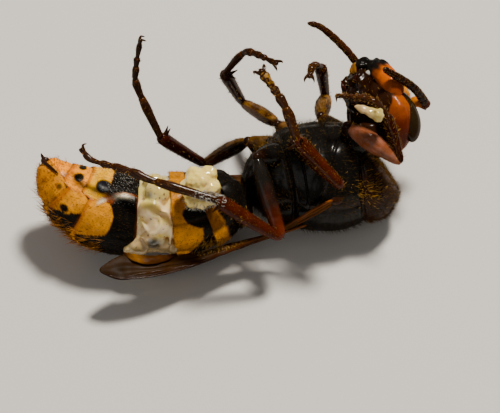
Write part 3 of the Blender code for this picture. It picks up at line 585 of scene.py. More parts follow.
FINISHES = {
    "black cuticle": {"roughness": 0.28, "grain": 0.14, "relief": 0.40, "coat": 0.30, "gloss": 0.22},
    "red-brown cuticle": {"roughness": 0.30, "grain": 0.10, "relief": 0.55, "mottling": 0.40, "coat": 0.28,
                          "gloss": 0.13},
    "orange cuticle": {"roughness": 0.34, "grain": 0.12, "relief": 0.30, "mottling": 0.30, "soft": 0.05,
                       "coat": 0.22},
    "yellow and black plates": {"roughness": 0.36, "grain": 0.10, "relief": 0.55, "mottling": 0.32,
                                "soft": 0.03, "specks": 0.21, "coat": 0.13, "gloss": 0.26},
    "facets": {"roughness": 0.22, "grain": 0.05, "relief": 0.25, "mottling": 0.25, "pits": 1.0, "coat": 0.5,
               "gloss": 0.16},
    "wing membrane": {"roughness": 0.36, "grain": 0.16, "relief": 0.5, "mottling": 0.40, "alpha": 0.975,
                      "coat": 0.02, "gloss": 0.3},
    "wing veins": {"roughness": 0.38, "grain": 0.10, "relief": 0.4, "mottling": 0.3, "coat": 0.2},
    "wet tissue": {"roughness": 0.20, "grain": 0.24, "relief": 0.40, "mottling": 0.12, "coat": 0.8,
                   "soft": 0.35, "shine": 0.1, "gloss": 0.08, "wet": 1.9},
    "hair": {"roughness": 0.45, "grain": 0.30, "relief": 0.1, "mottling": 0.35, "coat": 0.1},
}


def finish(name):
    """The finish of that name, made when a piece first asks for it."""
    return bpy.data.materials.get(name) or made_finish(name, **FINISHES[name])


# A chance of roots that is next to none, for the skin outside a patch of hair.
SELDOM = 1e-6


def roots_on(form, count, rng, keep):
    """Random root points on a form with their direction out, lie, place on the unwrap and colour."""
    corners = np.array([face[:3] for face in form.faces])
    a, b, c = form.points[corners[:, 0]], form.points[corners[:, 1]], form.points[corners[:, 2]]
    facing = np.cross(b - a, c - a)
    chance = np.linalg.norm(facing, axis=1) * keep((a + b + c) / 3, unit(facing))
    chosen = rng.choice(len(corners), count, p=chance / chance.sum())
    first, second = rng.random((2, count, 1))
    over = first + second > 1
    first, second = np.where(over, 1 - first, first), np.where(over, 1 - second, second)
    roots = a[chosen] + (b - a)[chosen] * first + (c - a)[chosen] * second
    corner = corners[chosen, 0]
    return roots, unit(facing[chosen]), form.lie[corner], form.places[corner], form.tint[corner]


def tinted(word, low, high, cast=(1, 1, 1)):
    """A tint for hairs: a colour of the panel with a cast, at strengths drawn between low and high."""
    def tint(roots, under, rng):
        return shade(word) * np.array(cast) * rng.uniform(low, high, size=(len(roots), 1))
    return tint


# How far a hair's corners lie from its root's place on the unwrap, before that is scaled.
HAIR_PATCH = np.array([(-1, -1), (1, -1), (0, 1), (-0.5, -0.5), (0.5, -0.5), (0, 0.5), (0, 0)])
PATCH_HALF = 0.0015
# Darker at the root and pale at the tip, for the seven points of a hair.
HAIR_FADE = np.array((0.5, 0.5, 0.5, 0.9, 0.9, 0.9, 1.35))[None, :, None]
BRIGHTEST = 0.95


def hairs(form, count, seed, length, stand=0.25, keep=None, tint=None, bristle=False, curl=0.3):
    """Thin tapering hairs rooted on a form, which follow its lie; returns a form of its own.

    length is two millimetre values, stand is how far the hairs rise off the skin from 0 to 1, keep gives
    the chance of a root from its point and direction out, and tint gives colours from roots.
    """
    rng = np.random.default_rng(seed)
    count = max(int(count * bpy.context.scene.hornet_sizes.coat_count), 3)
    keep = keep or (lambda points, facing: np.ones(len(points)))
    roots, out, along, places, under = roots_on(form, count, rng, keep)
    along = unit(along - out * np.einsum("ij,ij->i", along, out)[:, None])
    stray = rng.normal(size=(count, 3)) * 0.18
    start = unit(along * (1 - stand) + out * stand + stray)
    end = unit(start + along * curl + stray * 0.8)
    reach = rng.uniform(*length, size=(count, 1))
    thick = size("bristle_radius" if bristle else "hair_radius") * rng.uniform(0.75, 1.2, size=(count, 1))
    side = unit(np.cross(start, rng.normal(size=(count, 3))))
    other = np.cross(start, side)
    root = roots - out * thick
    middle = roots + start * reach * 0.5
    tip = middle + end * reach * 0.5
    rim = [side * math.cos(turn) + other * math.sin(turn) for turn in (0, 2 * math.pi / 3, 4 * math.pi / 3)]
    points = np.stack(
        [root + way * thick for way in rim] + [middle + way * thick * 0.7 for way in rim] + [tip], axis=1)
    walls = np.array([(0, 1, 4, 3), (1, 2, 5, 4), (2, 0, 3, 5)])
    ends = np.array([(3, 4, 6), (4, 5, 6), (5, 3, 6), (0, 2, 1)])
    starts = np.arange(count)[:, None, None] * 7
    faces = (starts + walls).reshape(-1, 4).tolist() + (starts + ends).reshape(-1, 3).tolist()
    colours = (tint or tinted("gold", 0.55, 1.15))(roots, under, rng)
    colours = np.minimum(colours[:, None] * HAIR_FADE, BRIGHTEST).reshape(-1, 3)
    places = (places[:, None] + HAIR_PATCH * PATCH_HALF).reshape(-1, 2)
    return Form(points.reshape(-1, 3), faces, places, colours)


def show_coat(name, coats):
    """Makes coats of hair into one piece, with each hair's place on the skin's unwrap kept for baking."""
    coat = join(coats)
    piece = show(name, coat, finish("hair"))
    corner_points = np.empty(len(piece.data.loops), dtype=int)
    piece.data.loops.foreach_get("vertex_index", corner_points)
    unwrap = piece.data.uv_layers.new(name="OFBake")
    unwrap.data.foreach_set("uv", coat.places[corner_points].ravel())
    return piece


def folded_angle(rows, path):
    """Degrees from the flank at each point, 90 at the belly and -90 at the back, alike on both sides."""
    off = rows - path[:, None]
    return np.degrees(np.arctan2(-off @ BODY_DORSAL, np.abs(off @ BODY_LEFT))), unit(off)


class HORNET_OT_trunk(bpy.types.Operator):
    """Black trunk with its seams, neck, scutellum and the small shields over the wing roots"""
    bl_idname = "hornet.trunk"
    bl_label = "Trunk"

    def execute(self, context):
        stations = smooth(TRUNK, 16)
        path = seen(stations[:, :3])
        rows = ring_rows(path, stations[:, 3:5], BODY_LEFT, 140)
        angle, out = folded_angle(rows, path)
        x = stations[:, :1]
        side_plate = step(angle, -32, -24) * (1 - step(angle, 58, 66))
        # Grooves at the joints and between the side plates, then two bulges of the flank and the grain.
        swell = -0.30 * crease(x, WAIST_JOINT, 0.16) - 0.26 * crease(x, COLLAR_JOINT, 0.14)
        for depth, place, lean, half in ((0.16, 6.3, 0.022, 0.10), (0.12, 4.4, -0.012, 0.09)):
            swell = swell - depth * crease(x, place + lean * angle, half) * side_plate
        swell = swell - 0.16 * crease(angle, -28, 2.2) * step(x, 2.9, 3.4) * (1 - step(x, 9.3, 9.6))
        swell = swell - 0.15 * crease(angle, 89, 3.5)
        for height, place, half, turn, spread in ((0.30, 7.6, 1.2, 42, 16), (0.22, 5.2, 0.9, 30, 14)):
            swell = swell + height * crease(x, place, half) * crease(angle, turn, spread)
        swell = swell + 0.05 * cloud(rows, 0.9) + 0.018 * cloud(rows, 0.28, 7.0)
        rows = rows + out * swell[..., None]
        # Rusty places: the pronotum's flank, the seam under the wings and the rear end of the back.
        rust = 0.9 * step(x, 9.5, 9.9) * (1 - step(angle, 5, 35)) + 0.6 * crease(angle, -24, 5) * step(x, 4, 6)
        rust = np.clip(rust + 0.5 * (1 - step(angle, -62, -48)) * (1 - step(x, 3.0, 4.6)), 0, 1)
        rust = rust * (0.75 + 0.5 * cloud(rows, 0.8, 3.0))
        body = closed(rows, blend(shade("black"), shade("brown") * 1.5, np.clip(rust, 0, 1)))
        axes = (ACROSS, BODY_LEFT, BODY_DORSAL)
        rest = [
            ball(seen(SCUTELLUM[0]), SCUTELLUM[1], axes, tint=shade("brown")),
            rod(seen(NECK), (1.5, 1.2, 0.9), sides=32, tint=shade("brown")),
            ball(seen((7.35, 0.62, 7.2)), (0.75, 0.30, 0.50), axes, tint=shade("brown") * 1.4),
            ball(seen((7.5, 2.2, 1.3)), (0.7, 0.35, 0.5), axes, tint=shade("brown") * 1.4),
        ]
        show("trunk", join([body] + rest), finish("black cuticle"),
             ("mesothorax", "pronotum", "propodeum"))

        def collar(points, facing):
            x, up = points @ ACROSS, points @ UPWARD
            return np.exp(-((x - 10.4) ** 2 + (up - 1.4) ** 2) / 0.8) * step(points @ TOWARD, 3, 5) + 0.0005

        def shoulders(points, facing):
            return step(points @ ACROSS, 9.5, 10.6) + SELDOM

        fuzz = hairs(body, 6500, 11, (0.2, 0.6), stand=0.62, tint=tinted("gold", 0.04, 0.26))
        golden = hairs(body, 170, 12, (0.25, 0.55), stand=0.55, keep=collar, bristle=True)
        brownish = tinted("gold", 0.05, 0.45, (0.8, 0.65, 0.6))
        ruff = hairs(body, 2600, 13, (0.2, 0.5), stand=0.5, keep=shoulders, tint=brownish)
        show_coat("trunk_coat", [fuzz, golden, ruff])
        return {"FINISHED"}


MIDLINE = smooth(ABDOMEN, 16)
MIDLINE_PATH = seen(MIDLINE[:, :3])
MIDLINE_WAY = unit(np.gradient(MIDLINE_PATH, axis=0))
# Where black turns to yellow on the rings of the back: degrees from the flank, and x of the midline there.
YELLOW_EDGES = {
    "third": ([-90, -60, -49, -31, -13, -3, 1, 13, 18, 24, 31, 57, 90],
              [-6.2, -5.8, -5.3, -4.6, -4.5, -5.4, -5.7, -5.95, -5.8, -5.4, -5.4, -5.15, -5.3]),
    "fourth": ([-90, -66, -58, -43, -31, -22, -10, 9, 18, 24, 28],
               [-13.2, -13.5, -13.9, -14.1, -13.2, -12.2, -11.9, -11.8, -12.1, -12.5, -13.5]),
    "fifth": ([-90, -62, -48, -39, -30, -26, -22, -16, -11, -6, -3],
              [-15.7, -15.9, -16.2, -16.1, -15.8, -15.6, -15.1, -15.0, -14.7, -14.4, -14.2]),
}
# Casts over the colours of the panel: painted light and painted shade on some plates, a painted highlight along
# the seam, rusty seams, and deeper tones towards the tip.
PLATE_CASTS = {
    "tip": (1.0, 0.82, 0.7), "last of belly": (1.22, 1.06, 0.15), "last of back": (0.80, 0.82, 0.95),
    "lit fourth of belly": (1.14, 1.45, 3.0), "dull": (0.17, 0.15, 0.4), "lit": (1.25, 1.3, 3.0),
    "pleat": (1.1, 1.0, 0.8), "rusty": (0.75, 0.7, 0.6),
}


def midline_value(x, values):
    """What belongs to the midline's rows, found at each x: one value for a row, or several."""
    if values.ndim > 1:
        return np.stack([midline_value(x, column) for column in values.T], axis=-1)
    return np.interp(-x, -MIDLINE[:, 0], values)


def seam_angle(x):
    """Degrees from the flank at which the plates of back and belly meet."""
    return np.interp(x, *np.transpose(SEAM))


def abdomen_rows(name, sides=150, pitch=0.085):
    """Rows of points of one group of overlapping rings, with x of the midline and the folded angle."""
    turn = 2 * math.pi * (np.arange(sides) + 0.5) / sides
    angle = np.degrees(np.arcsin(np.sin(turn)))
    xs, grows = [], []
    for number, (back_plate, belly_plate) in enumerate(RINGS[name]):
        count = max(int((back_plate[0] - back_plate[1]) / pitch), 8)
        t = np.linspace(0, 1, count)
        grow = 0.93 + 0.07 * np.sin(t * math.pi / 2)
        if name == "rear" and number == 0:
            grow = grow - 0.30 * (1 - np.clip(t / 0.11, 0, 1)) ** 2
        # The plate's end folds under: shares of its length, with how wide it is there.
        lip = [(1.010, 0.985), (1.004, 0.955), (0.97, 0.94)]
        t = np.concatenate([t, [place for place, _ in lip]])
        grow = np.concatenate([grow, [value for _, value in lip]])
        guess = back_plate[0] + (back_plate[1] - back_plate[0]) * t[:, None] + 0 * angle
        seam = seam_angle(guess)
        belly = step(angle, seam - 1.6, seam + 1.6)
        start = back_plate[0] + (belly_plate[0] - back_plate[0]) * belly
        end = back_plate[1] + (belly_plate[1] - back_plate[1]) * belly
        xs.append(start + (end - start) * t[:, None])
        grows.append(grow[:, None] * (1 - 0.045 * belly))
    x, grow = np.vstack(xs), np.vstack(grows)
    if name == "rear":
        tail = [(-17.72, 0.82), (-17.80, 0.5), (-17.84, 0.2)]
        x = np.vstack([x] + [np.full((1, sides), place) for place, _ in tail])
        grow = np.vstack([grow] + [np.full((1, sides), value) for _, value in tail])
    centre, way = midline_value(x, MIDLINE_PATH), unit(midline_value(x, MIDLINE_WAY))
    beyond = np.minimum(x - MIDLINE[-1, 0], 0)
    centre = centre - way * beyond[..., None]
    across = unit(BODY_LEFT - way * (way @ BODY_LEFT)[..., None])
    rise = np.cross(way, across)
    wide, high = (midline_value(x, column) * grow for column in MIDLINE[:, 3:5].T)
    rows = centre + across * (wide * np.cos(turn))[..., None] + rise * (high * np.sin(turn))[..., None]
    out = unit(rows - centre)
    dents = 0.10 * cloud(rows, 1.3, 8.0) * step(-x, 12.5, 14.5) + 0.035 * cloud(rows, 0.7)
    dents = dents + 0.012 * cloud(rows, 0.22, 5.0) - 0.16 * crease(angle, -1, 4.0) * (x > -7) * (x < -4)
    rows = rows + out * dents[..., None]
    return rows, x, np.broadcast_to(angle, x.shape)


def abdomen_tint(x, angle, points):
    """Yellow plates with black fronts, notches and spots, and rusty seams, alike on both sides."""
    ragged = 0.22 * cloud(points, 0.5, 2.0) + 0.12 * cloud(points, 0.18, 9.0)
    seam = seam_angle(x)
    belly = step(angle, seam - 0.8, seam + 0.8)
    back = 1 - belly

    def behind(edge, rough, soft):
        """1 on what lies further back than x of an edge, with a ragged border."""
        return 1 - step(x - ragged * rough, edge - soft, edge + soft)

    # Fourth ring of the back: black with a yellow lobe on each flank.
    fourth = (x > -14.35) & (x < -9.0)
    yellow = np.where(fourth, back * behind(np.interp(angle, *YELLOW_EDGES["fourth"]), 0.3, 0.06), 0)
    # Fifth and sixth rings of the back.
    fifth = (x <= -14.35) & (x > -16.2)
    flank = behind(np.interp(angle, *YELLOW_EDGES["fifth"]), 0.3, 0.06)
    notch = spot(x, angle, (-15.55, -17), (0.30, 7))
    yellow = np.where(fifth, back * flank * (1 - notch), yellow)
    yellow = np.where(x <= -16.2, back * (1 - 0.8 * spot(x, angle, (-16.58, 4), (0.16, 7), 0.4)), yellow)
    # Plates of the belly.
    black_front = step(x + ragged * 0.4, -13.1, -12.85)
    fourth_belly = (1 - black_front) * (1 - spot(x, angle, (-13.55, 47), (0.82, 12.5)))
    yellow = np.where((x > -15.35) & (x < -9.0), yellow + belly * fourth_belly, yellow)
    marks = np.maximum(spot(x, angle, (-16.0, 49), (0.38, 11)), spot(x, angle, (-16.1, 84), (0.34, 11)))
    yellow = np.where(x <= -15.2, np.maximum(yellow, belly * (1 - marks)), yellow)
    # The front three rings.
    third = (x <= -4.0) & (x > -7.2)
    yellow = np.where(third, behind(np.interp(angle, *YELLOW_EDGES["third"]), 0.5, 0.08), yellow)
    second = (x <= -2.25) & (x > -4.0)
    yellow = np.where(second, 0.9 * behind(-3.125, 0.5, 0.125), yellow)

    # Casts over the yellow with painted light and painted shade, then the pleat along the seam, which is a
    # painted highlight, rusty seams and painted shade in the creases between plates.
    tint = blend(shade("black"), shade("yellow"), np.clip(yellow, 0, 1))
    deeper = step(-x, 16.1, 17.4)
    tint = blend(tint, tint * PLATE_CASTS["tip"], 0.6 * deeper)
    tint = blend(tint, tint * PLATE_CASTS["last of belly"], belly * step(-x, 14.9, 15.4))
    tint = blend(tint, tint * PLATE_CASTS["last of back"], back * step(-x, 16.1, 16.4))
    # The fourth plate of the belly is made paler: a painted highlight.
    lit_fourth_of_belly = belly * step(-x, 12.8, 13.4) * step(x, -15.4, -14.9)
    tint = blend(tint, tint * PLATE_CASTS["lit fourth of belly"], lit_fourth_of_belly)
    # dull is painted shade: the hind leg's shadow over the second ring's yellow, and half as strong on the
    # third ring from the flank towards the belly. lit is painted light on the second ring's yellow towards the
    # back.
    dull = 1.1 * second * yellow * step(angle, -30, -24) + 0.5 * third * yellow * step(angle, -3, 3)
    tint = blend(tint, shade("yellow") * PLATE_CASTS["dull"], np.clip(dull, 0, 1))
    tint = blend(tint, tint * PLATE_CASTS["lit"], second * yellow * (1 - step(angle, -34, -30)))
    # The pleat is a pale band along the seam of the fourth ring: a painted highlight.
    pleat = crease(angle, seam - 4.6, 4.0) * back * step(x, -13.9, -13.2) * (1 - step(x, -11.2, -9.9))
    tint = blend(tint, shade("frost") * PLATE_CASTS["pleat"], pleat)
    rusty = 0.6 * crease(x, -9.72, 0.10) * back + 0.6 * crease(angle, seam - 1.5, 2.0) * back * (x < -9)
    rusty = rusty + 0.75 * spot(x, angle, (-12.55, 30), (0.5, 5.5), 0.4) * back
    for place, width, plates in (
            (-14.25, 0.14, back), (-16.1, 0.16, back), (-15.1, 0.12, belly), (-16.7, 0.14, belly)):
        rusty = rusty + 0.65 * crease(x, place, width) * plates * step(angle, -48, -36)
    tint = blend(tint, shade("orange") * PLATE_CASTS["rusty"], np.clip(rusty, 0, 1))
    # Painted shade in the creases between the plates and along the seam.
    crease_shade = 0.8 * crease(x, -14.40, 0.045) * back + 0.8 * crease(x, -16.25, 0.05) * back
    crease_shade = crease_shade + 0.8 * crease(x, -15.24, 0.045) * belly + 0.8 * crease(x, -16.80, 0.05) * belly
    crease_shade = crease_shade + 0.7 * crease(angle, seam, 0.9) * (x < -12.6) + 0.7 * crease(angle, -1, 2.0) * third
    crease_shade = crease_shade * (0.75 + 0.5 * cloud(points, 0.35, 6.0))
    return blend(tint, shade("brown") * 1.5, np.clip(crease_shade, 0, 1))


class HORNET_OT_abdomen(bpy.types.Operator):
    """Overlapping rings of the abdomen on both sides of the tear, with their coat and the sting"""
    bl_idname = "hornet.abdomen"
    bl_label = "Abdomen"

    def execute(self, context):
        skins = {}
        nodes = {"front": ("abdomen_1", "abdomen_2", "abdomen_3"),
                 "rear": ("abdomen_4", "abdomen_5", "abdomen_6")}
        for name in RINGS:
            rows, x, angle = abdomen_rows(name)
            skins[name] = closed(rows, abdomen_tint(x, angle, rows))
            show("abdomen_" + name, skins[name], finish("yellow and black plates"),
                 nodes[name])
        needle = rod(seen(STING), (0.24, 0.2, 0.13, 0.05), sides=14, tint=shade("brown"))
        knob = ball(seen((-17.75, 4.0, 6.55)), (0.38, 0.30, 0.30), columns=24, rows=16, tint=shade("brown"))
        sheath = rod(seen([(-17.95, 3.95, 6.8), (-17.5, 3.6, 7.42), (-17.1, 3.3, 7.72), (-16.55, 2.85, 8.07)]),
                     (0.18, 0.15, 0.12, 0.04), sides=12, tint=shade("brown"))
        show("sting_needle", join([needle, knob, sheath]), finish("black cuticle"),
             ("sting",))

        def on_black(under):
            return (under.sum(axis=1) < 0.25)[:, None]

        def matched(roots, under, rng):
            light = shade("gold") * rng.uniform(0.5, 1.2, size=(len(roots), 1))
            # Some hairs on the yellow are drawn much darker.
            dimmed = rng.choice((0.22, 1.0), size=(len(roots), 1))
            return np.where(on_black(under), light * 0.2, light * np.array((1.0, 0.78, 0.45)) * dimmed)

        def flank_back(points, facing):
            turn = facing @ -BODY_DORSAL
            low = step(turn, -0.95, -0.75) * (1 - step(turn, -0.50, -0.25))
            return low * step(-(points @ ACROSS), 12.0, 13.0) + SELDOM

        def tail(points, facing):
            return step(-(points @ ACROSS), 15.4, 16.6) + SELDOM

        def patch(middle, half, power):
            """A chance of roots round a place in the viewer's plane, where the skin faces the viewer."""
            def keep(points, facing):
                across, height = points @ ACROSS - middle[0], points @ UPWARD - middle[1]
                near = np.exp(-((across / half[0]) ** power + (height / half[1]) ** power))
                return near * step(facing @ TOWARD, 0.0, 0.4) + SELDOM
            return keep

        # Pale bristles on the black plates by the tear: painted glints.
        def glinting(roots, under, rng):
            strength = rng.uniform(0.05, 1.0, size=(len(roots), 1)) ** 2
            return shade("frost") * np.where(on_black(under), strength, 0.3)

        tawny = tinted("gold", 0.5, 1.3, (0.9, 0.66, 0.50))
        wing_base, beside_tear = patch((-3.4, -3.1), (1.1, 0.45), 2), patch((-10.9, 1.5), (1.3, 1.2), 4)
        coats = [
            hairs(skins["rear"], 6500, 21, (0.12, 0.34), stand=0.12, tint=matched),
            hairs(skins["rear"], 520, 22, (0.7, 1.6), stand=0.28, keep=flank_back, tint=tawny, bristle=True),
            hairs(skins["rear"], 300, 23, (0.25, 0.55), stand=0.60, keep=tail, tint=tawny, bristle=True),
            hairs(skins["front"], 3600, 24, (0.15, 0.45), stand=0.30, tint=matched),
            hairs(skins["front"], 150, 25, (0.3, 0.75), stand=0.50, keep=wing_base, bristle=True),
            hairs(skins["rear"], 420, 26, (0.07, 0.18), stand=0.35, keep=beside_tear, tint=glinting,
                  bristle=True),
        ]
        show_coat("abdomen_coat", coats)
        return {"FINISHED"}


HEAD_AXES = (FACE, HEAD_LEFT, CROWN)


def head_local(points):
    """Points of the world as places before, left of and towards the crown from the head's middle."""
    off = points - HEAD_CENTRE
    return off @ FACE, off @ HEAD_LEFT, off @ CROWN


def cranium(around):
    """The face narrows to the jaws, is broad behind the eyes and flat at the back."""
    x, y, z = around[..., 0], around[..., 1], around[..., 2]
    narrow = 1.0 - 0.16 * np.maximum(0.0, -z) - 0.04 * np.maximum(0.0, z)
    return np.stack([np.where(x > 0, x, x * HEAD_BACK / HEAD_HALF[0]), y * narrow, z], axis=-1)


# The back edge of a cheek: places towards the crown, and before the middle of the head.
CHEEK_EDGE = ((-1.6, -0.73, -0.49, 0.12, 1.53, 3.2), (-0.2, -0.66, -0.89, -1.2, -1.16, -0.43))


def head_skin():
    """Cranium with face shield, sockets, cheeks and a hollow back, coloured by place."""
    skin = ball(HEAD_CENTRE, HEAD_HALF, HEAD_AXES, columns=150, rows=100, shape=cranium)
    front, left, crown = head_local(skin.points)
    side = np.abs(left)
    before = step(front, 0.2, 0.9)
    wide = 1.85 + 0.28 * np.clip((crown + 1.7) / 1.4, -1, 1)
    high = np.where(crown < -1.7, 1.70 - 0.30 * np.exp(-((left / 0.4) ** 2)), 1.75)
    reach = (np.abs(left / wide) ** 2.6 + np.abs((crown + 1.7) / high) ** 2.6) ** (1 / 2.6)
    shield = before * (1 - step(reach, 0.88, 1.0))
    rim = before * crease(reach, 1.04, 0.07)
    sockets = before * np.exp(-((side - 0.72) ** 2 + (crown - 0.1) ** 2) / 0.09)
    cheek = step(front, -1.32, -1.12) * (1 - step(front, -0.1, 0.2)) * step(side, 0.9, 1.6)
    hollow = (1 - step(front, -1.55, -1.2)) * (1 - step(np.hypot(left, crown), 1.2, 2.6))
    swell = 1.35 * before * np.clip(1 - reach ** 2, 0, 1) ** 0.5 - 0.14 * rim - 0.28 * sockets
    swell = swell + 0.13 * cheek - 0.45 * hollow
    swell = swell - 0.08 * before * crease(left, 0, 0.12) * step(crown, 0.3, 0.8)
    swell = swell - 0.10 * crease(front, -1.22, 0.07) * step(side, 0.8, 1.4)
    swell = swell + 0.04 * cloud(skin.points, 0.8) + 0.012 * cloud(skin.points, 0.22, 4.0)
    skin.swell(swell)

    higher = step(crown + 0.35 * cloud(skin.points, 1.0), -0.9, 1.6)
    skin.tint = blend(shade("orange") * 0.6, shade("red") * 1.4, higher)
    skin.paint(shade("yellow") * 0.85, shield)
    skin.paint(shade("red"), 0.7 * before * crease(reach, 1.03, 0.05))
    skin.paint(shade("black"), np.clip(sockets * 1.4, 0, 1))
    edge = np.interp(crown, *CHEEK_EDGE) + 0.08 * cloud(skin.points, 0.6, 2.0)
    skin.paint(shade("brown"), 1 - step(front - edge, -0.08, 0.08))
    skin.paint(shade("brown"), 0.9 * (1 - step(crown, -1.35, -1.0)) * (1 - before))
    skin.paint(shade("brown"), 0.8 * np.exp(-((front - 1.1) ** 2 + left ** 2 + (crown - 2.9) ** 2) / 0.8))
    return skin


class HORNET_OT_head(bpy.types.Operator):
    """Orange head with its face shield, cheeks, three simple eyes and short hair"""
    bl_idname = "hornet.head"
    bl_label = "Head"

    def execute(self, context):
        skin = head_skin()
        beads = [
            ball(head_place(place), (0.17, 0.17, 0.17), columns=16, rows=10, tint=shade("eye"))
            for place in ((1.35, 0.0, 2.78), (0.95, 0.42, 3.08), (0.95, -0.42, 3.08))
        ]
        show("head_skin", join([skin] + beads), finish("orange cuticle"), ("head",))

        def bare_cheeks(points, facing):
            return 0.25 + step(head_local(points)[0], 0.3, 1.0)

        coat = hairs(skin, 1500, 31, (0.12, 0.38), stand=0.6, keep=bare_cheeks)
        show_coat("head_coat", [coat])
        return {"FINISHED"}


class HORNET_OT_eyes(bpy.types.Operator):
    """The two compound eyes, long ovals with fine facets"""
    bl_idname = "hornet.eyes"
    bl_label = "Eyes"

    def execute(self, context):
        for name, sign in (("left", 1), ("right", -1)):
            centre = head_place((EYE_PLACE[0], sign * EYE_PLACE[1], EYE_PLACE[2]))
            eye = ball(centre, EYE_HALF, HEAD_AXES, columns=64, rows=64)
            front, left, crown = head_local(eye.points)
            aside = (np.abs(left) - 1.9) ** 2 / 0.2
            notch = np.exp(-((front - 1.6) ** 2 / 0.5 + aside + (crown - 0.4) ** 2 / 0.25))
            low = np.clip((crown - EYE_PLACE[2]) / EYE_HALF[2], 0, 1)
            eye.points = eye.points - normals(eye) * (0.35 * notch)[:, None] - np.outer(0.38 * low ** 2, FACE)
            eye.points = eye.points - np.outer(0.22 * low, CROWN)
            glow = step(cloud(eye.points, 1.6, 6.0), -0.3, 0.6) * 0.5
            eye.tint = blend(shade("eye"), shade("eye") * np.array((1.9, 1.8, 1.0)), glow)
            show("eye_facets_" + name, eye, finish("facets"), ("eye_" + name,))
        return {"FINISHED"}


def jaw_form(sign):
    """A broad curved jaw, orange at its hinge, with a black toothed edge."""
    spine = [(0.35, sign * 2.8, -0.95), (0.36, sign * 2.82, -1.1), (0.38, sign * 2.85, -1.4),
             (0.50, sign * 2.75, -2.2), (0.60, sign * 2.2, -3.3), (0.60, sign * 1.5, -4.2),
             (0.45, sign * 0.65, -4.75), (0.42, sign * 0.45, -4.9)]
    halves = np.array([(0.12, 0.1), (0.5, 0.45), (0.85, 0.75), (1.0, 0.92), (1.0, 0.85), (0.95, 0.7),
                       (0.5, 0.4), (0.12, 0.1)])
    stations = smooth(np.hstack([head_place(spine), halves]), 12)
    blade = closed(ring_rows(stations[:, :3], stations[:, 3:5], FACE, 40))
    share = blade.places[:, 1]
    outer = step(share + 0.05 * cloud(blade.points, 0.5), 0.54, 0.66)
    blade.tint = blend(shade("orange"), shade("black"), outer)
    blade.paint(shade("red") * 1.6, 0.6 * crease(share, 0.30, 0.12))
    lumpy = step(share, 0.5, 0.7) * 0.16 * cloud(blade.points, 0.45, 3.0)
    blade.swell(0.05 * cloud(blade.points, 0.6) + lumpy)
    teeth = []
    for number in range(4):
        share = number / 3
        root = head_place((0.6, sign * (2.0 - 1.1 * share), -3.4 - 1.1 * share))
        point = head_place((0.75, sign * (0.95 - 0.6 * share), -3.25 - 1.35 * share))
        teeth.append(rod([root, (root + point) / 2, point], (0.42, 0.34, 0.12), sides=14, tint=shade("black")))
    if sign > 0:
        # A dark lump at the end of the near jaw.
        teeth.append(ball(seen((10.0, 12.35, 4.0)), (0.78, 0.62, 0.6), tint=shade("black")))
        teeth[-1].swell(0.22 * cloud(teeth[-1].points, 0.5))
    return join([blade] + teeth)


class HORNET_OT_mouth(bpy.types.Operator):
    """Two jaws with black teeth, and the folded mouth parts with their palps"""
    bl_idname = "hornet.mouth"
    bl_label = "Jaws and mouth parts"

    def execute(self, context):
        for name, sign in (("left", 1), ("right", -1)):
            show("jaw_" + name, jaw_form(sign), finish("orange cuticle"),
                 ("mandible_" + name,))
        dark, lighter = shade("brown") * 0.45, shade("brown") * 0.6
        # The base of the mouth parts, then a golden tip that shows between the jaws and a pale bead that is a
        # painted glint on the teeth.
        forms = [
            ball(head_place((-0.6, 0.0, -3.0)), (1.25, 1.15, 1.5), HEAD_AXES, tint=dark),
            ball(head_place((-1.5, 0.0, -2.2)), (1.05, 1.3, 1.3), HEAD_AXES, tint=dark),
            ball(seen((9.25, 11.95, 3.7)), (0.52, 0.62, 0.5), tint=shade("yellow") * 0.3),
            ball(seen((10.3, 11.65, 4.9)), (0.28, 0.26, 0.2), columns=20, rows=14, tint=shade("frost") * 0.5),
        ]
        for sign in (1, -1):
            forms.append(ball(head_place((-0.9, sign * 1.15, -2.9)), (1.0, 0.55, 1.5), HEAD_AXES, tint=lighter))
            forms.append(ball(head_place((-0.3, sign * 0.5, -4.2)), (0.5, 0.4, 0.7), HEAD_AXES, tint=lighter))
            palp = head_place([(-1.4, sign * 0.8, -3.1), (-1.7, sign * 1.0, -3.7), (-1.5, sign * 1.1, -4.2)])
            for start, end, thick in ((palp[0], palp[1], 0.22), (palp[1], palp[2], 0.17)):
                forms.append(rod([start, (start + end) / 2, end], (thick * 0.6, thick, thick * 0.8),
                                 sides=14, tint=shade("red") * 0.35))
        folds = join(forms)
        folds.swell(0.13 * cloud(folds.points, 0.45))
        show("mouth_folds", folds, finish("red-brown cuticle"), ("mouthparts",))
        coat = hairs(folds, 260, 41, (0.15, 0.45), stand=0.6)
        show_coat("mouth_coat", [coat])
        return {"FINISHED"}


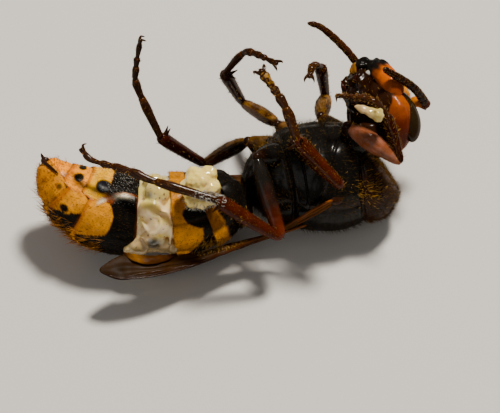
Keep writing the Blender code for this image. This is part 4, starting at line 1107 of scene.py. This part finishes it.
class HORNET_OT_antennae(bpy.types.Operator):
    """Both antennae: an orange scape and a dark jointed whip"""
    bl_idname = "hornet.antennae"
    bl_label = "Antennae"

    def execute(self, context):
        for name, places in ANTENNAE.items():
            socket, bends = seen(places["socket"]), seen(places["whip"])
            elbow = bends[0]
            middle = (socket + elbow) / 2 + seen(places["rise"])
            scape = rod([socket, middle, elbow], np.array((0.72, 1.05, 0.85)) * SCAPE_RADIUS, sides=28)
            honey = blend(shade("orange"), shade("yellow"), 0.45) * 0.85
            scape.tint = blend(honey, shade("red"), step(scape.places[:, 1], 0.7, 0.95))
            path = even(smooth(bends, 40), FLAGELLUM_JOINTS * 9 + 1)
            share = np.linspace(0, FLAGELLUM_JOINTS, len(path))
            ring = np.abs(np.sin(share * math.pi)) ** 0.35
            taper = np.interp(share / FLAGELLUM_JOINTS, (0, 0.7, 1), (1, 0.92, 0.66))
            radius = FLAGELLUM_RADIUS * taper * (0.86 + 0.14 * ring) * (1.18 if name == "left" else 1.1)
            radius[:5] *= np.linspace(0.6, 1.0, 5)
            radius[-6:] *= np.sqrt(np.linspace(1.0, 0.12, 6))
            way = unit(path[-1] - path[0])
            side = unit(np.cross(way, TOWARD))
            whip = closed(ring_rows(path, np.stack([radius, radius], axis=1), side, WHIP_SIDES))
            joint = np.repeat(ring, WHIP_SIDES)
            joint = np.concatenate([joint, joint[:1], joint[-1:]])
            start = step(whip.places[:, 1], 0.02, 0.16)
            whip.tint = blend(shade("red"), shade("brown") * (0.45 if name == "left" else 1.3), start)
            whip.paint(shade("red") * 0.7, 0.5 * (1 - joint))
            show("scape_skin_" + name, scape, finish("orange cuticle"), ("scape_" + name,))
            show("whip_" + name, whip, finish("red-brown cuticle"), ("flagellum_" + name,))
            down = hairs(whip, 900, 51, (0.05, 0.12), stand=0.5)
            show_coat("antenna_coat_" + name, [down])
        return {"FINISHED"}


def limb(start, end, shares, sizes, side, tint_start, tint_end, turn=(0.3, 0.7), bow=0.0):
    """One length of a leg: ovals of the given sizes at shares of the way, slightly bowed."""
    shares = np.asarray(shares, float)
    way = end - start
    across = unit(np.cross(side, way))
    places = start + shares[:, None] * way + across * (bow * np.sin(shares * math.pi))[:, None]
    stations = smooth(np.hstack([places, np.asarray(sizes, float)]), 9)
    stations[:, 3:] = np.maximum(stations[:, 3:], 0.03)
    sides = bpy.context.scene.hornet_sizes.leg_sides
    form = closed(ring_rows(stations[:, :3], stations[:, 3:5], side, sides))
    share = form.places[:, 1] + 0.10 * cloud(form.points, 0.8)
    form.tint = blend(tint_start, tint_end, step(share, *turn))
    form.swell(0.02 * cloud(form.points, 0.35))
    return form


def claw_forms(tip, way, side, spread=1.0):
    """Two hooked claws that spread and curl, with the soft pad between them."""
    drop = unit(np.cross(way, side))
    pad = np.array((0.24, 0.19, 0.19)) * spread
    forms = [ball(tip + way * 0.2, pad, (way, side, drop), columns=16, rows=12, tint=shade("brown"))]
    for sign in (1, -1):
        bends = [(-0.2, 0.0, 0.0), (0.20, 0.22, 0.0), (0.46, 0.38, -0.10), (0.42, 0.44, -0.44)]
        path = [tip + way * (ahead * spread) + side * (sign * aside * spread) + drop * (down * spread)
                for ahead, aside, down in bends]
        forms.append(rod(path, (0.18, 0.15, 0.10, 0.03), sides=12, tint=shade("brown")))
    return forms


def foot_forms(name, side):
    """Five joints that widen to their ends, then the claws."""
    sizes = LEGS[name]
    stout = name == "left_mid"
    path = even(smooth([seen(sizes["ankle"])] + [seen(place) for place in sizes["foot"]], 20), 200)
    radius = sizes["radii"][2] * (1.35 if stout else 1.2)
    forms = []
    share = 0.0
    for number, length in enumerate(TARSOMERES):
        first, last = int(share * 199), int(min(share + length, 1.0) * 199)
        cut = even(path[first:last + 1], 5)
        thick = radius * (1.0 - 0.08 * number)
        wide = np.array((0.80, 0.93, 1.02, 1.14, 0.88)) * thick
        if number == len(TARSOMERES) - 1:
            wide = np.array((0.70, 0.85, 1.0, 1.1, 0.75)) * thick * (1.45 if stout else 1.0)
        joint = rod(cut, wide, sides=18, steps=6, side=side, flat=0.85)
        end = 0.35 * step(joint.places[:, 1], 0.86, 0.98)
        joint.tint = blend(shade("brown") * FOOT_GAIN[name], shade("amber") * 0.5, end)
        # Golden flecks on the last joints of the stout foot: painted glints.
        if stout and number > 1:
            painted_glints = step(cloud(joint.points, 0.22), 0.10, 0.30) * (0.25 * number - 0.25)
            joint.paint(shade("gold") * 0.62, painted_glints)
        forms.append(joint)
        share += length
    way = unit(path[-1] - path[-6])
    return forms + claw_forms(path[-1], way, unit(side - way * (way @ side)), 1.35 if stout else 1.0)


# Each thigh's colour with its gain at the root and at the knee, and the share of its length where they meet.
THIGH_TINTS = {
    "left_fore": (("dusty", 1.05), ("dusty", 0.92), 0.5), "left_mid": (("black", 1.0), ("red", 0.8), 0.5),
    "left_hind": (("black", 2.0), ("red", 1.2), 0.66), "right_fore": (("brown", 1.2), ("amber", 0.3), 0.5),
    "right_mid": (("brown", 1.0), ("amber", 0.3), 0.5), "right_hind": (("black", 1.5), ("amber", 0.4), 0.6),
}
# Gains over the brown of each foot.
FOOT_GAIN = {
    "left_fore": 1.5, "left_mid": 1.25, "left_hind": 1.5,
    "right_fore": 1.3, "right_mid": 0.9, "right_hind": 0.9,
}
# Half width and half depth along a thigh or a shin, as shares of its radius.
THIGH = ((0.3, 0.32), (0.52, 0.6), (0.74, 0.88), (0.86, 1.0), (0.76, 0.86), (0.6, 0.7), (0.28, 0.32))
FORE_THIGH = ((0.28, 0.30), (0.40, 0.45), (0.62, 0.74), (0.80, 0.92), (0.66, 0.72), (0.40, 0.46), (0.22, 0.24))
SHIN = ((0.25, 0.25), (0.55, 0.6), (0.72, 0.8), (0.8, 0.9), (0.92, 1.05), (0.98, 1.05), (0.55, 0.6))
# Gains over the red of each shin, at its root and at its foot.
SHIN_GAIN = {
    "left_fore": (0.2, 0.3), "left_mid": (0.80, 0.66), "left_hind": (0.86, 0.68),
    "right_fore": (0.4, 0.35), "right_mid": (0.4, 0.35), "right_hind": (0.75, 0.4),
}


def leg_forms(name):
    """Coxa, trochanter, thigh, shin with spurs, and foot of one leg."""
    sizes = LEGS[name]
    hip, trochanter, knee, ankle = (seen(sizes[key]) for key in ("hip", "trochanter", "knee", "ankle"))
    thigh, shin = sizes["radii"][:2]
    shin *= 0.8 if name == "left_fore" else 1.0
    side = unit(np.cross(knee - trochanter, ankle - knee))
    first, second = (shade(word) * gain for word, gain in THIGH_TINTS[name][:2])
    turn = THIGH_TINTS[name][2]
    coxa = limb(hip, trochanter, (0, 0.35, 0.75, 0.98), ((1.3, 1.2), (1.25, 1.15), (0.8, 0.75), (0.42, 0.42)),
                side, shade("black"), shade("brown") * 1.3, (0.6, 1.0))
    ring = ball(trochanter, (thigh * 0.52,) * 3, columns=24, rows=16, tint=shade("brown") * 0.8)
    profile = FORE_THIGH if name == "left_fore" else THIGH
    femur = limb(trochanter, knee, (0.0, 0.06, 0.18, 0.42, 0.7, 0.92, 1.0),
                 [(thigh * wide, thigh * deep) for wide, deep in profile],
                 side, first, second, (turn - 0.25, turn + 0.25), bow=0.10)
    first, second = (shade("red") * gain for gain in SHIN_GAIN[name])
    tibia = limb(knee, ankle, (0.0, 0.04, 0.12, 0.3, 0.62, 0.92, 1.0),
                 [(shin * wide, shin * deep) for wide, deep in SHIN],
                 side, first, second, (0.0, 0.6), bow=-0.08)
    # On the right legs, patches of tan dust, kept to the sides that face up, where they also stand for painted
    # light.
    if name.startswith("right"):
        for form, share in ((femur, 0.95), (coxa, 0.6)):
            bare = -0.25 if name != "right_hind" else -0.7
            patch = step(cloud(form.points, 1.0, 12.0), bare, bare + 0.4)
            patch = patch * step(normals(form) @ UPWARD, -0.1, 0.5)
            form.paint(shade("gold") * np.array((0.31, 0.275, 0.33)), share * patch)
    way = unit(ankle - knee)
    spurs = []
    for direction in sizes["spurs"]:
        lean = seen(direction)
        lean = unit(lean - way * (way @ lean))
        root = ankle - way * 0.35 + lean * shin * 0.6
        spurs.append(rod([root, root + way * 0.15 + lean * 0.35, root + way * 0.40 + lean * 0.85],
                         (0.20, 0.13, 0.03), sides=12, tint=shade("brown") * 0.8))
    return coxa, ring, femur, tibia, spurs, foot_forms(name, side)


class HORNET_OT_legs(bpy.types.Operator):
    """Six legs with spurs, feet and claws, and their bristles"""
    bl_idname = "hornet.legs"
    bl_label = "Legs"

    def execute(self, context):
        bright, dull = tinted("gold", 0.2, 0.8), tinted("gold", 0.05, 0.25)
        # gleaming: pale bristles on the left feet that stand for painted glints.
        gleaming = tinted("gold", 0.3, 1.2, (1.2, 1.1, 1.2))

        def tan(roots, under, rng):
            patch = step(cloud(roots, 1.1, 12.0), -0.15, 0.35)[:, None]
            dust = shade("gold") * np.array((0.85, 0.76, 0.70))
            return dust * (0.15 + 0.75 * patch) * rng.uniform(0.6, 1.2, size=(len(roots), 1))

        def lit(points, facing):
            return step(facing @ UPWARD, -0.2, 0.5) + 0.05

        for number, name in enumerate(LEGS):
            coxa, ring, femur, tibia, spurs, foot = leg_forms(name)
            nodes = [name + "_" + part for part in ("coxa", "femur", "tibia", "tarsus")]
            show("leg_" + name, join([coxa, ring, femur, tibia] + spurs + foot), finish("red-brown cuticle"),
                 nodes)
            seed = 60 + 5 * number
            coats = [
                hairs(coxa, 320, seed, (0.2, 0.45), stand=0.5, tint=bright),
                hairs(femur, 420, seed + 1, (0.10, 0.26), stand=0.35,
                      tint=dull if name == "left_hind" else bright),
                hairs(tibia, 480, seed + 2, (0.10, 0.28), stand=0.38, tint=bright),
                hairs(join(foot), 420, seed + 3, (0.10, 0.26), stand=0.42, tint=bright),
                hairs(tibia, 26, seed + 4, (0.3, 0.5), stand=0.6, bristle=True),
            ]
            if name.startswith("left"):
                coats.append(hairs(join(foot), 110, seed + 152, (0.16, 0.34), stand=0.65, tint=gleaming,
                                   bristle=True))
            else:
                coats.append(hairs(femur, 1300, seed + 150, (0.10, 0.28), stand=0.3, keep=lit, tint=tan))
                coats.append(hairs(coxa, 500, seed + 151, (0.10, 0.28), stand=0.3, keep=lit, tint=tan))
            show_coat("leg_coat_" + name, coats)
        return {"FINISHED"}


class Wing:
    """A folded wing between its front edge and its inner edge, with a place for each share of both."""

    def __init__(self, rails, lift):
        self.edges = [even(smooth(rail, 16), 241) for rail in rails]
        self.lift = lift

    def place(self, along, across):
        """Points at shares of the length and of the way from front edge to inner edge."""
        along, across = np.broadcast_arrays(np.asarray(along, float), np.asarray(across, float))
        tip = np.sqrt(np.clip(1 - (np.clip(along - 0.90, 0, 0.1) / 0.1) ** 2, 0, 1))
        root = 0.55 + 0.45 * step(along, 0.0, 0.06)
        across = 0.5 + (across - 0.5) * tip * root
        front, inner = (
            np.stack([np.interp(along, np.linspace(0, 1, 241), column) for column in edge.T], axis=-1)
            for edge in self.edges)
        return front * (1 - across[..., None]) + inner * across[..., None]

    def up(self, along, across):
        """The direction across the membrane at shares of the length and width."""
        before, after = (self.place(np.clip(along + near, 0, 1), across) for near in (-0.01, 0.01))
        ahead = after - before
        over = self.place(along, 0.75) - self.place(along, 0.25)
        facing = unit(np.cross(over, ahead))
        return np.where((facing @ self.lift < 0)[..., None], -facing, facing)

    def surface(self, along, across):
        """Points of the pleated membrane."""
        base = self.place(along, across)
        pleat = 0.05 * np.sin(np.asarray(across) * 5 * math.pi)
        pleat = pleat * step(along, 0.02, 0.2) * (1 - step(along, 0.7, 1.0))
        ripple = 0.05 * cloud(base, 1.1)
        return base + self.up(along, across) * (pleat + ripple)[..., None]


def membrane_form(wing, rows=150, columns=26):
    """The thin closed membrane: two layers, joined along their rim."""
    along, across = np.meshgrid(np.linspace(0, 0.9995, rows), np.linspace(0, 1, columns), indexing="ij")
    top = wing.surface(along, across)
    thick = size("membrane") * wing.up(along, across)
    grids = [top + thick / 2, top - thick / 2]
    count = rows * columns
    faces = []
    for layer in (0, 1):
        for row in range(rows - 1):
            for column in range(columns - 1):
                corner = layer * count + row * columns + column
                faces.append([corner, corner + 1, corner + columns + 1, corner + columns])
                if layer:
                    faces[-1].reverse()
    rim = ([(0, column) for column in range(columns)] + [(row, columns - 1) for row in range(1, rows)]
           + [(rows - 1, column) for column in range(columns - 2, -1, -1)]
           + [(row, 0) for row in range(rows - 2, 0, -1)])
    spots = [row * columns + column for row, column in rim]
    for here, there in zip(spots, spots[1:] + spots[:1]):
        faces.append([there, here, here + count, there + count])
    points = np.vstack([grid.reshape(-1, 3) for grid in grids])
    places = np.tile(np.stack([across.ravel(), along.ravel()], axis=1), (2, 1))
    form = Form(points, faces, places, (0, 0, 0))
    darker = crease(places[:, 0], 0.0, 0.15) + 0.4 * cloud(points, 1.4, 3.0)
    # Paler near the root and darker towards the tip; the darker tip is painted shade of the floor's shadow
    # behind the wing.
    gain = np.interp(places[:, 1], (0.0, 0.35, 0.6, 0.85, 1.0), (1.7, 1.7, 1.1, 0.6, 0.55))
    form.tint = blend(shade("membrane"), shade("brown"), np.clip(darker, 0, 0.8)) * gain[:, None]
    return outward(form)


# Veins as places along and across the wing, with their share of the front vein's radius.
VEINS = [
    ([(0.0, 0.10), (0.3, 0.02), (0.62, 0.0), (0.86, 0.02), (0.965, 0.10)], 1.0),
    ([(0.0, 0.18), (0.3, 0.10), (0.58, 0.07), (0.64, 0.03)], 0.9),
    ([(0.0, 0.45), (0.2, 0.42), (0.42, 0.40), (0.60, 0.36)], 0.7),
    ([(0.62, 0.06), (0.72, 0.22), (0.84, 0.20), (0.92, 0.06)], 0.6),
    ([(0.18, 0.42), (0.40, 0.62), (0.62, 0.66), (0.80, 0.62)], 0.6),
    ([(0.0, 0.85), (0.3, 0.88), (0.52, 0.86)], 0.6),
    ([(0.42, 0.40), (0.45, 0.62)], 0.5),
    ([(0.60, 0.36), (0.70, 0.42), (0.86, 0.44)], 0.55),
    ([(0.66, 0.40), (0.66, 0.66)], 0.45),
    ([(0.72, 0.22), (0.73, 0.43)], 0.45),
    ([(0.78, 0.22), (0.80, 0.44), (0.80, 0.62)], 0.45),
    ([(0.60, 0.36), (0.62, 0.08)], 0.5),
]


def vein_forms(wing):
    """Rods along the veins, half sunk in the membrane, and the dark spot at the front edge."""
    forms = []
    front = size("vein_radius")
    for knots, share in VEINS:
        course = smooth(knots, 12)
        track = even(np.hstack([course, np.zeros((len(course), 1))]), 10 * len(knots))
        path = wing.surface(track[:, 0], track[:, 1])
        taper = np.linspace(1.0, 0.6, len(path)) * share * front
        forms.append(rod(path, taper, sides=8, steps=2))
    spot_path = wing.surface(np.linspace(0.59, 0.67, 6), np.full(6, 0.045))
    forms.append(rod(spot_path, np.array((0.3, 1.2, 1.6, 1.5, 1.0, 0.3)) * front, sides=12, steps=4, flat=0.7))
    veins = join(forms)
    root = np.exp(-np.linalg.norm(veins.points - wing.place(0.0, 0.3), axis=1) / 4)
    veins.tint = blend(shade("brown"), shade("amber"), np.clip(root, 0, 1))
    return veins


class HORNET_OT_wings(bpy.types.Operator):
    """Four folded wings: thin pleated membranes with their veins"""
    bl_idname = "hornet.wings"
    bl_label = "Wings"

    def execute(self, context):
        up = np.array((0.0, 0.0, 1.0))
        wings = {
            "forewing_left": Wing(LEFT_FOREWING, up), "hindwing_left": Wing(LEFT_HINDWING, up),
            "forewing_right": Wing(RIGHT_FOREWING, up), "hindwing_right": Wing(RIGHT_HINDWING, up),
        }

        def frayed(points, facing):
            across, height = points @ ACROSS, points @ UPWARD
            edge = np.interp(across, LEFT_FOREWING[1, ::-1] @ ACROSS, LEFT_FOREWING[1, ::-1] @ UPWARD)
            return crease(across, -3.2, 1.5) * step(height - edge, -0.5, -0.1) + SELDOM

        for number, (name, wing) in enumerate(wings.items()):
            skin = membrane_form(wing)
            show("membrane_" + name, skin, finish("wing membrane"), (name,))
            show("veins_" + name, vein_forms(wing), finish("wing veins"))
            coats = [hairs(skin, 900, 90 + number, (0.05, 0.12), stand=0.5, tint=tinted("gold", 0.05, 0.35))]
            if name == "forewing_left":
                coats.append(hairs(skin, 320, 95, (0.12, 0.34), stand=0.7, keep=frayed, bristle=True))
            show_coat("wing_coat_" + name, coats)
        return {"FINISHED"}


def lump_forms(lumps):
    """A ball for each place and radius."""
    return [ball(seen(lump[:3]), (lump[3],) * 3, columns=32, rows=22) for lump in lumps]


class HORNET_OT_tissue(bpy.types.Operator):
    """Wet pale tissue in the tear, on the hind leg and at the fore foot"""
    bl_idname = "hornet.tissue"
    bl_label = "Torn tissue"

    def execute(self, context):
        x = np.linspace(-6.45, -9.8, 24)
        halves = midline_value(x, MIDLINE[:, 3:5]) * 0.86
        core = closed(ring_rows(midline_value(x, MIDLINE_PATH), halves, BODY_LEFT, 80))
        folds = [rod(seen(path), np.linspace(1.0, 0.7, len(path)) * thick, sides=14)
                 for path, thick in TEAR_FOLDS]
        tear = melted(join([core] + lump_forms(TEAR_LUMPS) + folds), 0.085, rounds=6)
        tear.swell(np.sin(cloud(tear.points, 1.7) * 8) * 0.035 + 0.09 * cloud(tear.points, 0.8, 3.0))
        across, height = tear.points @ ACROSS, tear.points @ UPWARD
        tear.tint = blend(shade("cream") * 0.95, shade("rose"), step(cloud(tear.points, 1.2, 5.0), -0.5, 0.1))
        mossy = 0.7 * step(height + 0.6 * cloud(tear.points, 0.9), 0.1, 0.9)
        tear.paint(shade("moss") * np.array((1.0, 0.88, 0.66)), mossy)
        lit = np.interp(height, (-4.2, -3.0, -2.3, -0.3, 1.0), (0.52, 0.60, 1.30, 1.30, 1.0))
        tear.tint = np.minimum(tear.tint * lit[:, None], (0.95, 0.69, 0.36))
        # Painted shade in a hollow low in the tear, a small dark mark and scattered specks.
        grey = np.exp(-(((across + 8.3) / 0.6) ** 2 + ((height + 3.2) / 0.42) ** 2) ** 2)
        grey = grey + 0.7 * np.exp(-(((across + 8.6) / 0.25) ** 2 + ((height - 1.0) / 0.4) ** 2))
        grey = np.clip(grey + 0.8 * step(cloud(tear.points, 0.22, 2.0), 0.50, 0.60), 0, 0.9)
        tear.paint(np.array((0.035, 0.040, 0.030)), grey)
        # Darker where the tissue lies away from the viewer: painted shade deep in the tear.
        tear.paint(shade("rose") * 0.25, 1 - step(tear.points @ TOWARD, 3.5, 6.5))
        show("tissue_tear_skin", tear, finish("wet tissue"), ("tissue_tear",))

        clot = melted(join(lump_forms(LEG_LUMPS)), 0.09, rounds=5)
        clot.swell(0.17 * cloud(clot.points, 0.7) + 0.08 * cloud(clot.points, 0.3, 4.0))
        clot.tint = blend(shade("cream"), shade("rose"), 0.5 * step(cloud(clot.points, 0.9), 0.0, 0.5))
        show("tissue_leg_skin", clot, finish("wet tissue"), ("tissue_hind_leg",))

        stations = np.array(FORE_DROP)
        drop = rod(seen(stations[:, :3]), stations[:, 3], sides=32, steps=8)
        drop.swell(0.11 * cloud(drop.points, 0.5))
        across, height = drop.points @ ACROSS, drop.points @ UPWARD
        drop.tint = blend(shade("cream") * 0.58, shade("rose") * 0.60, step(-across, -10.9, -9.6))
        speck = np.exp(-((across - 10.72) ** 2 + (height - 8.12) ** 2) / 0.012)
        drop.paint(shade("brown") * 2, 0.85 * speck)
        show("tissue_drop_skin", drop, finish("wet tissue"), ("tissue_fore_leg",))

        def lower_edge(points, facing):
            return 1 - step(points @ UPWARD, 0.0, 0.9) + SELDOM

        pale = tinted("frost", 0.4, 0.9)
        foot = rod(seen([(-4.9, 1.2, 11.3), (-3.6, 0.85, 11.45), (-2.2, 0.35, 11.55)]),
                   (0.34, 0.40, 0.44), sides=16)
        coats = [
            hairs(clot, 200, 121, (0.15, 0.4), stand=0.6, keep=lower_edge, tint=pale, bristle=True),
            hairs(foot, 380, 122, (0.12, 0.38), stand=0.5, tint=pale, bristle=True, curl=0.9),
        ]
        show_coat("tissue_fibres", coats)

        path = smooth(FLAP, 8)
        flap = closed(ring_rows(seen(path[:, :3]), path[:, 3:], unit(seen((0, 1, -0.6))), 28))
        flap.swell(0.07 * cloud(flap.points, 0.6))
        edge = step(np.abs(flap.places[:, 1] - 0.5) + 0.2 * cloud(flap.points, 0.5), 0.2, 0.5)
        deep = step(flap.points @ ACROSS, -10.0, -8.8)
        honey, shaded = (shade("yellow") * np.array(cast) for cast in ((0.28, 0.29, 0.9), (0.07, 0.055, 0.1)))
        honey = blend(honey, shaded, deep)
        flap.tint = blend(honey, shade("brown"), edge)
        show("torn_flap", flap, finish("wing membrane"))
        return {"FINISHED"}


def aimed(holder, place, target):
    """Puts a lamp or camera at a place and turns it to a target."""
    holder.location = place
    holder.rotation_euler = (Vector(place) - Vector(target)).to_track_quat("Z", "Y").to_euler()


def lamp(name, direction, distance, width, power, tone):
    """A square soft light that looks at the animal from a direction."""
    light = bpy.data.lights.new(name, "AREA")
    light.size = width
    light.energy = power
    light.color = tone
    holder = bpy.data.objects.new(name, light)
    bpy.context.scene.collection.objects.link(holder)
    centre = (np.array(CAD_BOX[0]) + np.array(CAD_BOX[1])) / 2
    aimed(holder, centre + unit(direction) * distance, centre)


FLOOR_HALF = 0.6
# The floor lies a hair below the lowest points, so that the two don't flicker.
FLOOR_TOP = -0.00004
FLOOR_TONE = (0.62, 0.60, 0.57, 1)
AIR_TONE = (1.0, 0.97, 0.93, 1)
AIR_STRENGTH = 0.17
# Lamps by name: direction from the animal, distance and width in metres, watts and colour.
LAMPS = {
    "key": ((0.22, 0.35, 0.92), 0.5, 0.085, 4.4, (1.0, 0.94, 0.84)),
    "fill": ((-0.6, -0.8, 0.7), 0.6, 0.40, 0.5, (1.0, 0.98, 0.95)),
}
# How far in front of the origin the camera looks.
AIM_AHEAD = 0.005


class HORNET_OT_stage(bpy.types.Operator):
    """Plain pale floor, soft lights and the camera at the photograph's angle"""
    bl_idname = "hornet.stage"
    bl_label = "Stage"

    def execute(self, context):
        scene = context.scene
        floor = bpy.data.meshes.new("floor")
        corners = [(FLOOR_HALF * x, FLOOR_HALF * y, FLOOR_TOP) for x, y in ((-1, -1), (1, -1), (1, 1), (-1, 1))]
        floor.from_pydata(corners, [], [(0, 1, 2, 3)])
        pale = bpy.data.materials.new("pale floor")
        pale.use_nodes = True
        shader = pale.node_tree.nodes["Principled BSDF"]
        shader.inputs["Base Color"].default_value = FLOOR_TONE
        shader.inputs["Roughness"].default_value = 0.8
        floor.materials.append(pale)
        ground = bpy.data.objects.new("floor", floor)
        scene.collection.objects.link(ground)

        world = bpy.data.worlds.new("studio")
        world.use_nodes = True
        air = world.node_tree.nodes["Background"]
        air.inputs["Color"].default_value = AIR_TONE
        air.inputs["Strength"].default_value = AIR_STRENGTH
        scene.world = world
        for name, values in LAMPS.items():
            lamp(name, *values)

        sizes = scene.hornet_sizes
        lens = bpy.data.cameras.new("camera")
        lens.sensor_width = 36
        lens.lens = lens.sensor_width * sizes.view_distance / sizes.view_width
        lens.clip_start = 0.01
        camera = bpy.data.objects.new("camera", lens)
        scene.collection.objects.link(camera)
        target = ORIGIN + TOWARD * AIM_AHEAD
        aimed(camera, target + TOWARD * sizes.view_distance, target)
        scene.camera = camera
        return {"FINISHED"}


class HORNET_PT_panel(bpy.types.Panel):
    """The hornet's sizes, colours and pieces"""
    bl_idname = "HORNET_PT_panel"
    bl_label = "Hornet"
    bl_space_type = "VIEW_3D"
    bl_region_type = "UI"
    bl_category = "Hornet"

    def draw(self, context):
        column = self.layout.column()
        for group in (context.scene.hornet_sizes, context.scene.hornet_colours):
            for word in group.bl_rna.properties.keys():
                if word not in ("rna_type", "name"):
                    column.prop(group, word)
        for operator in OPERATORS:
            column.operator(operator.bl_idname)


OPERATORS = (
    HORNET_OT_trunk, HORNET_OT_abdomen, HORNET_OT_head, HORNET_OT_eyes, HORNET_OT_mouth,
    HORNET_OT_antennae, HORNET_OT_legs, HORNET_OT_wings, HORNET_OT_tissue, HORNET_OT_stage,
)
CLASSES = (HornetSizes, HornetColours) + OPERATORS + (HORNET_PT_panel,)


def register():
    for kind in CLASSES:
        bpy.utils.register_class(kind)
    bpy.types.Scene.hornet_sizes = PointerProperty(type=HornetSizes)
    bpy.types.Scene.hornet_colours = PointerProperty(type=HornetColours)


def unregister():
    del bpy.types.Scene.hornet_sizes
    del bpy.types.Scene.hornet_colours
    for kind in reversed(CLASSES):
        bpy.utils.unregister_class(kind)


def main():
    """Builds every piece and the stage."""
    register()
    bpy.ops.hornet.trunk()
    bpy.ops.hornet.abdomen()
    bpy.ops.hornet.head()
    bpy.ops.hornet.eyes()
    bpy.ops.hornet.mouth()
    bpy.ops.hornet.antennae()
    bpy.ops.hornet.legs()
    bpy.ops.hornet.wings()
    bpy.ops.hornet.tissue()
    bpy.ops.hornet.stage()


if __name__ == "__main__":
    main()
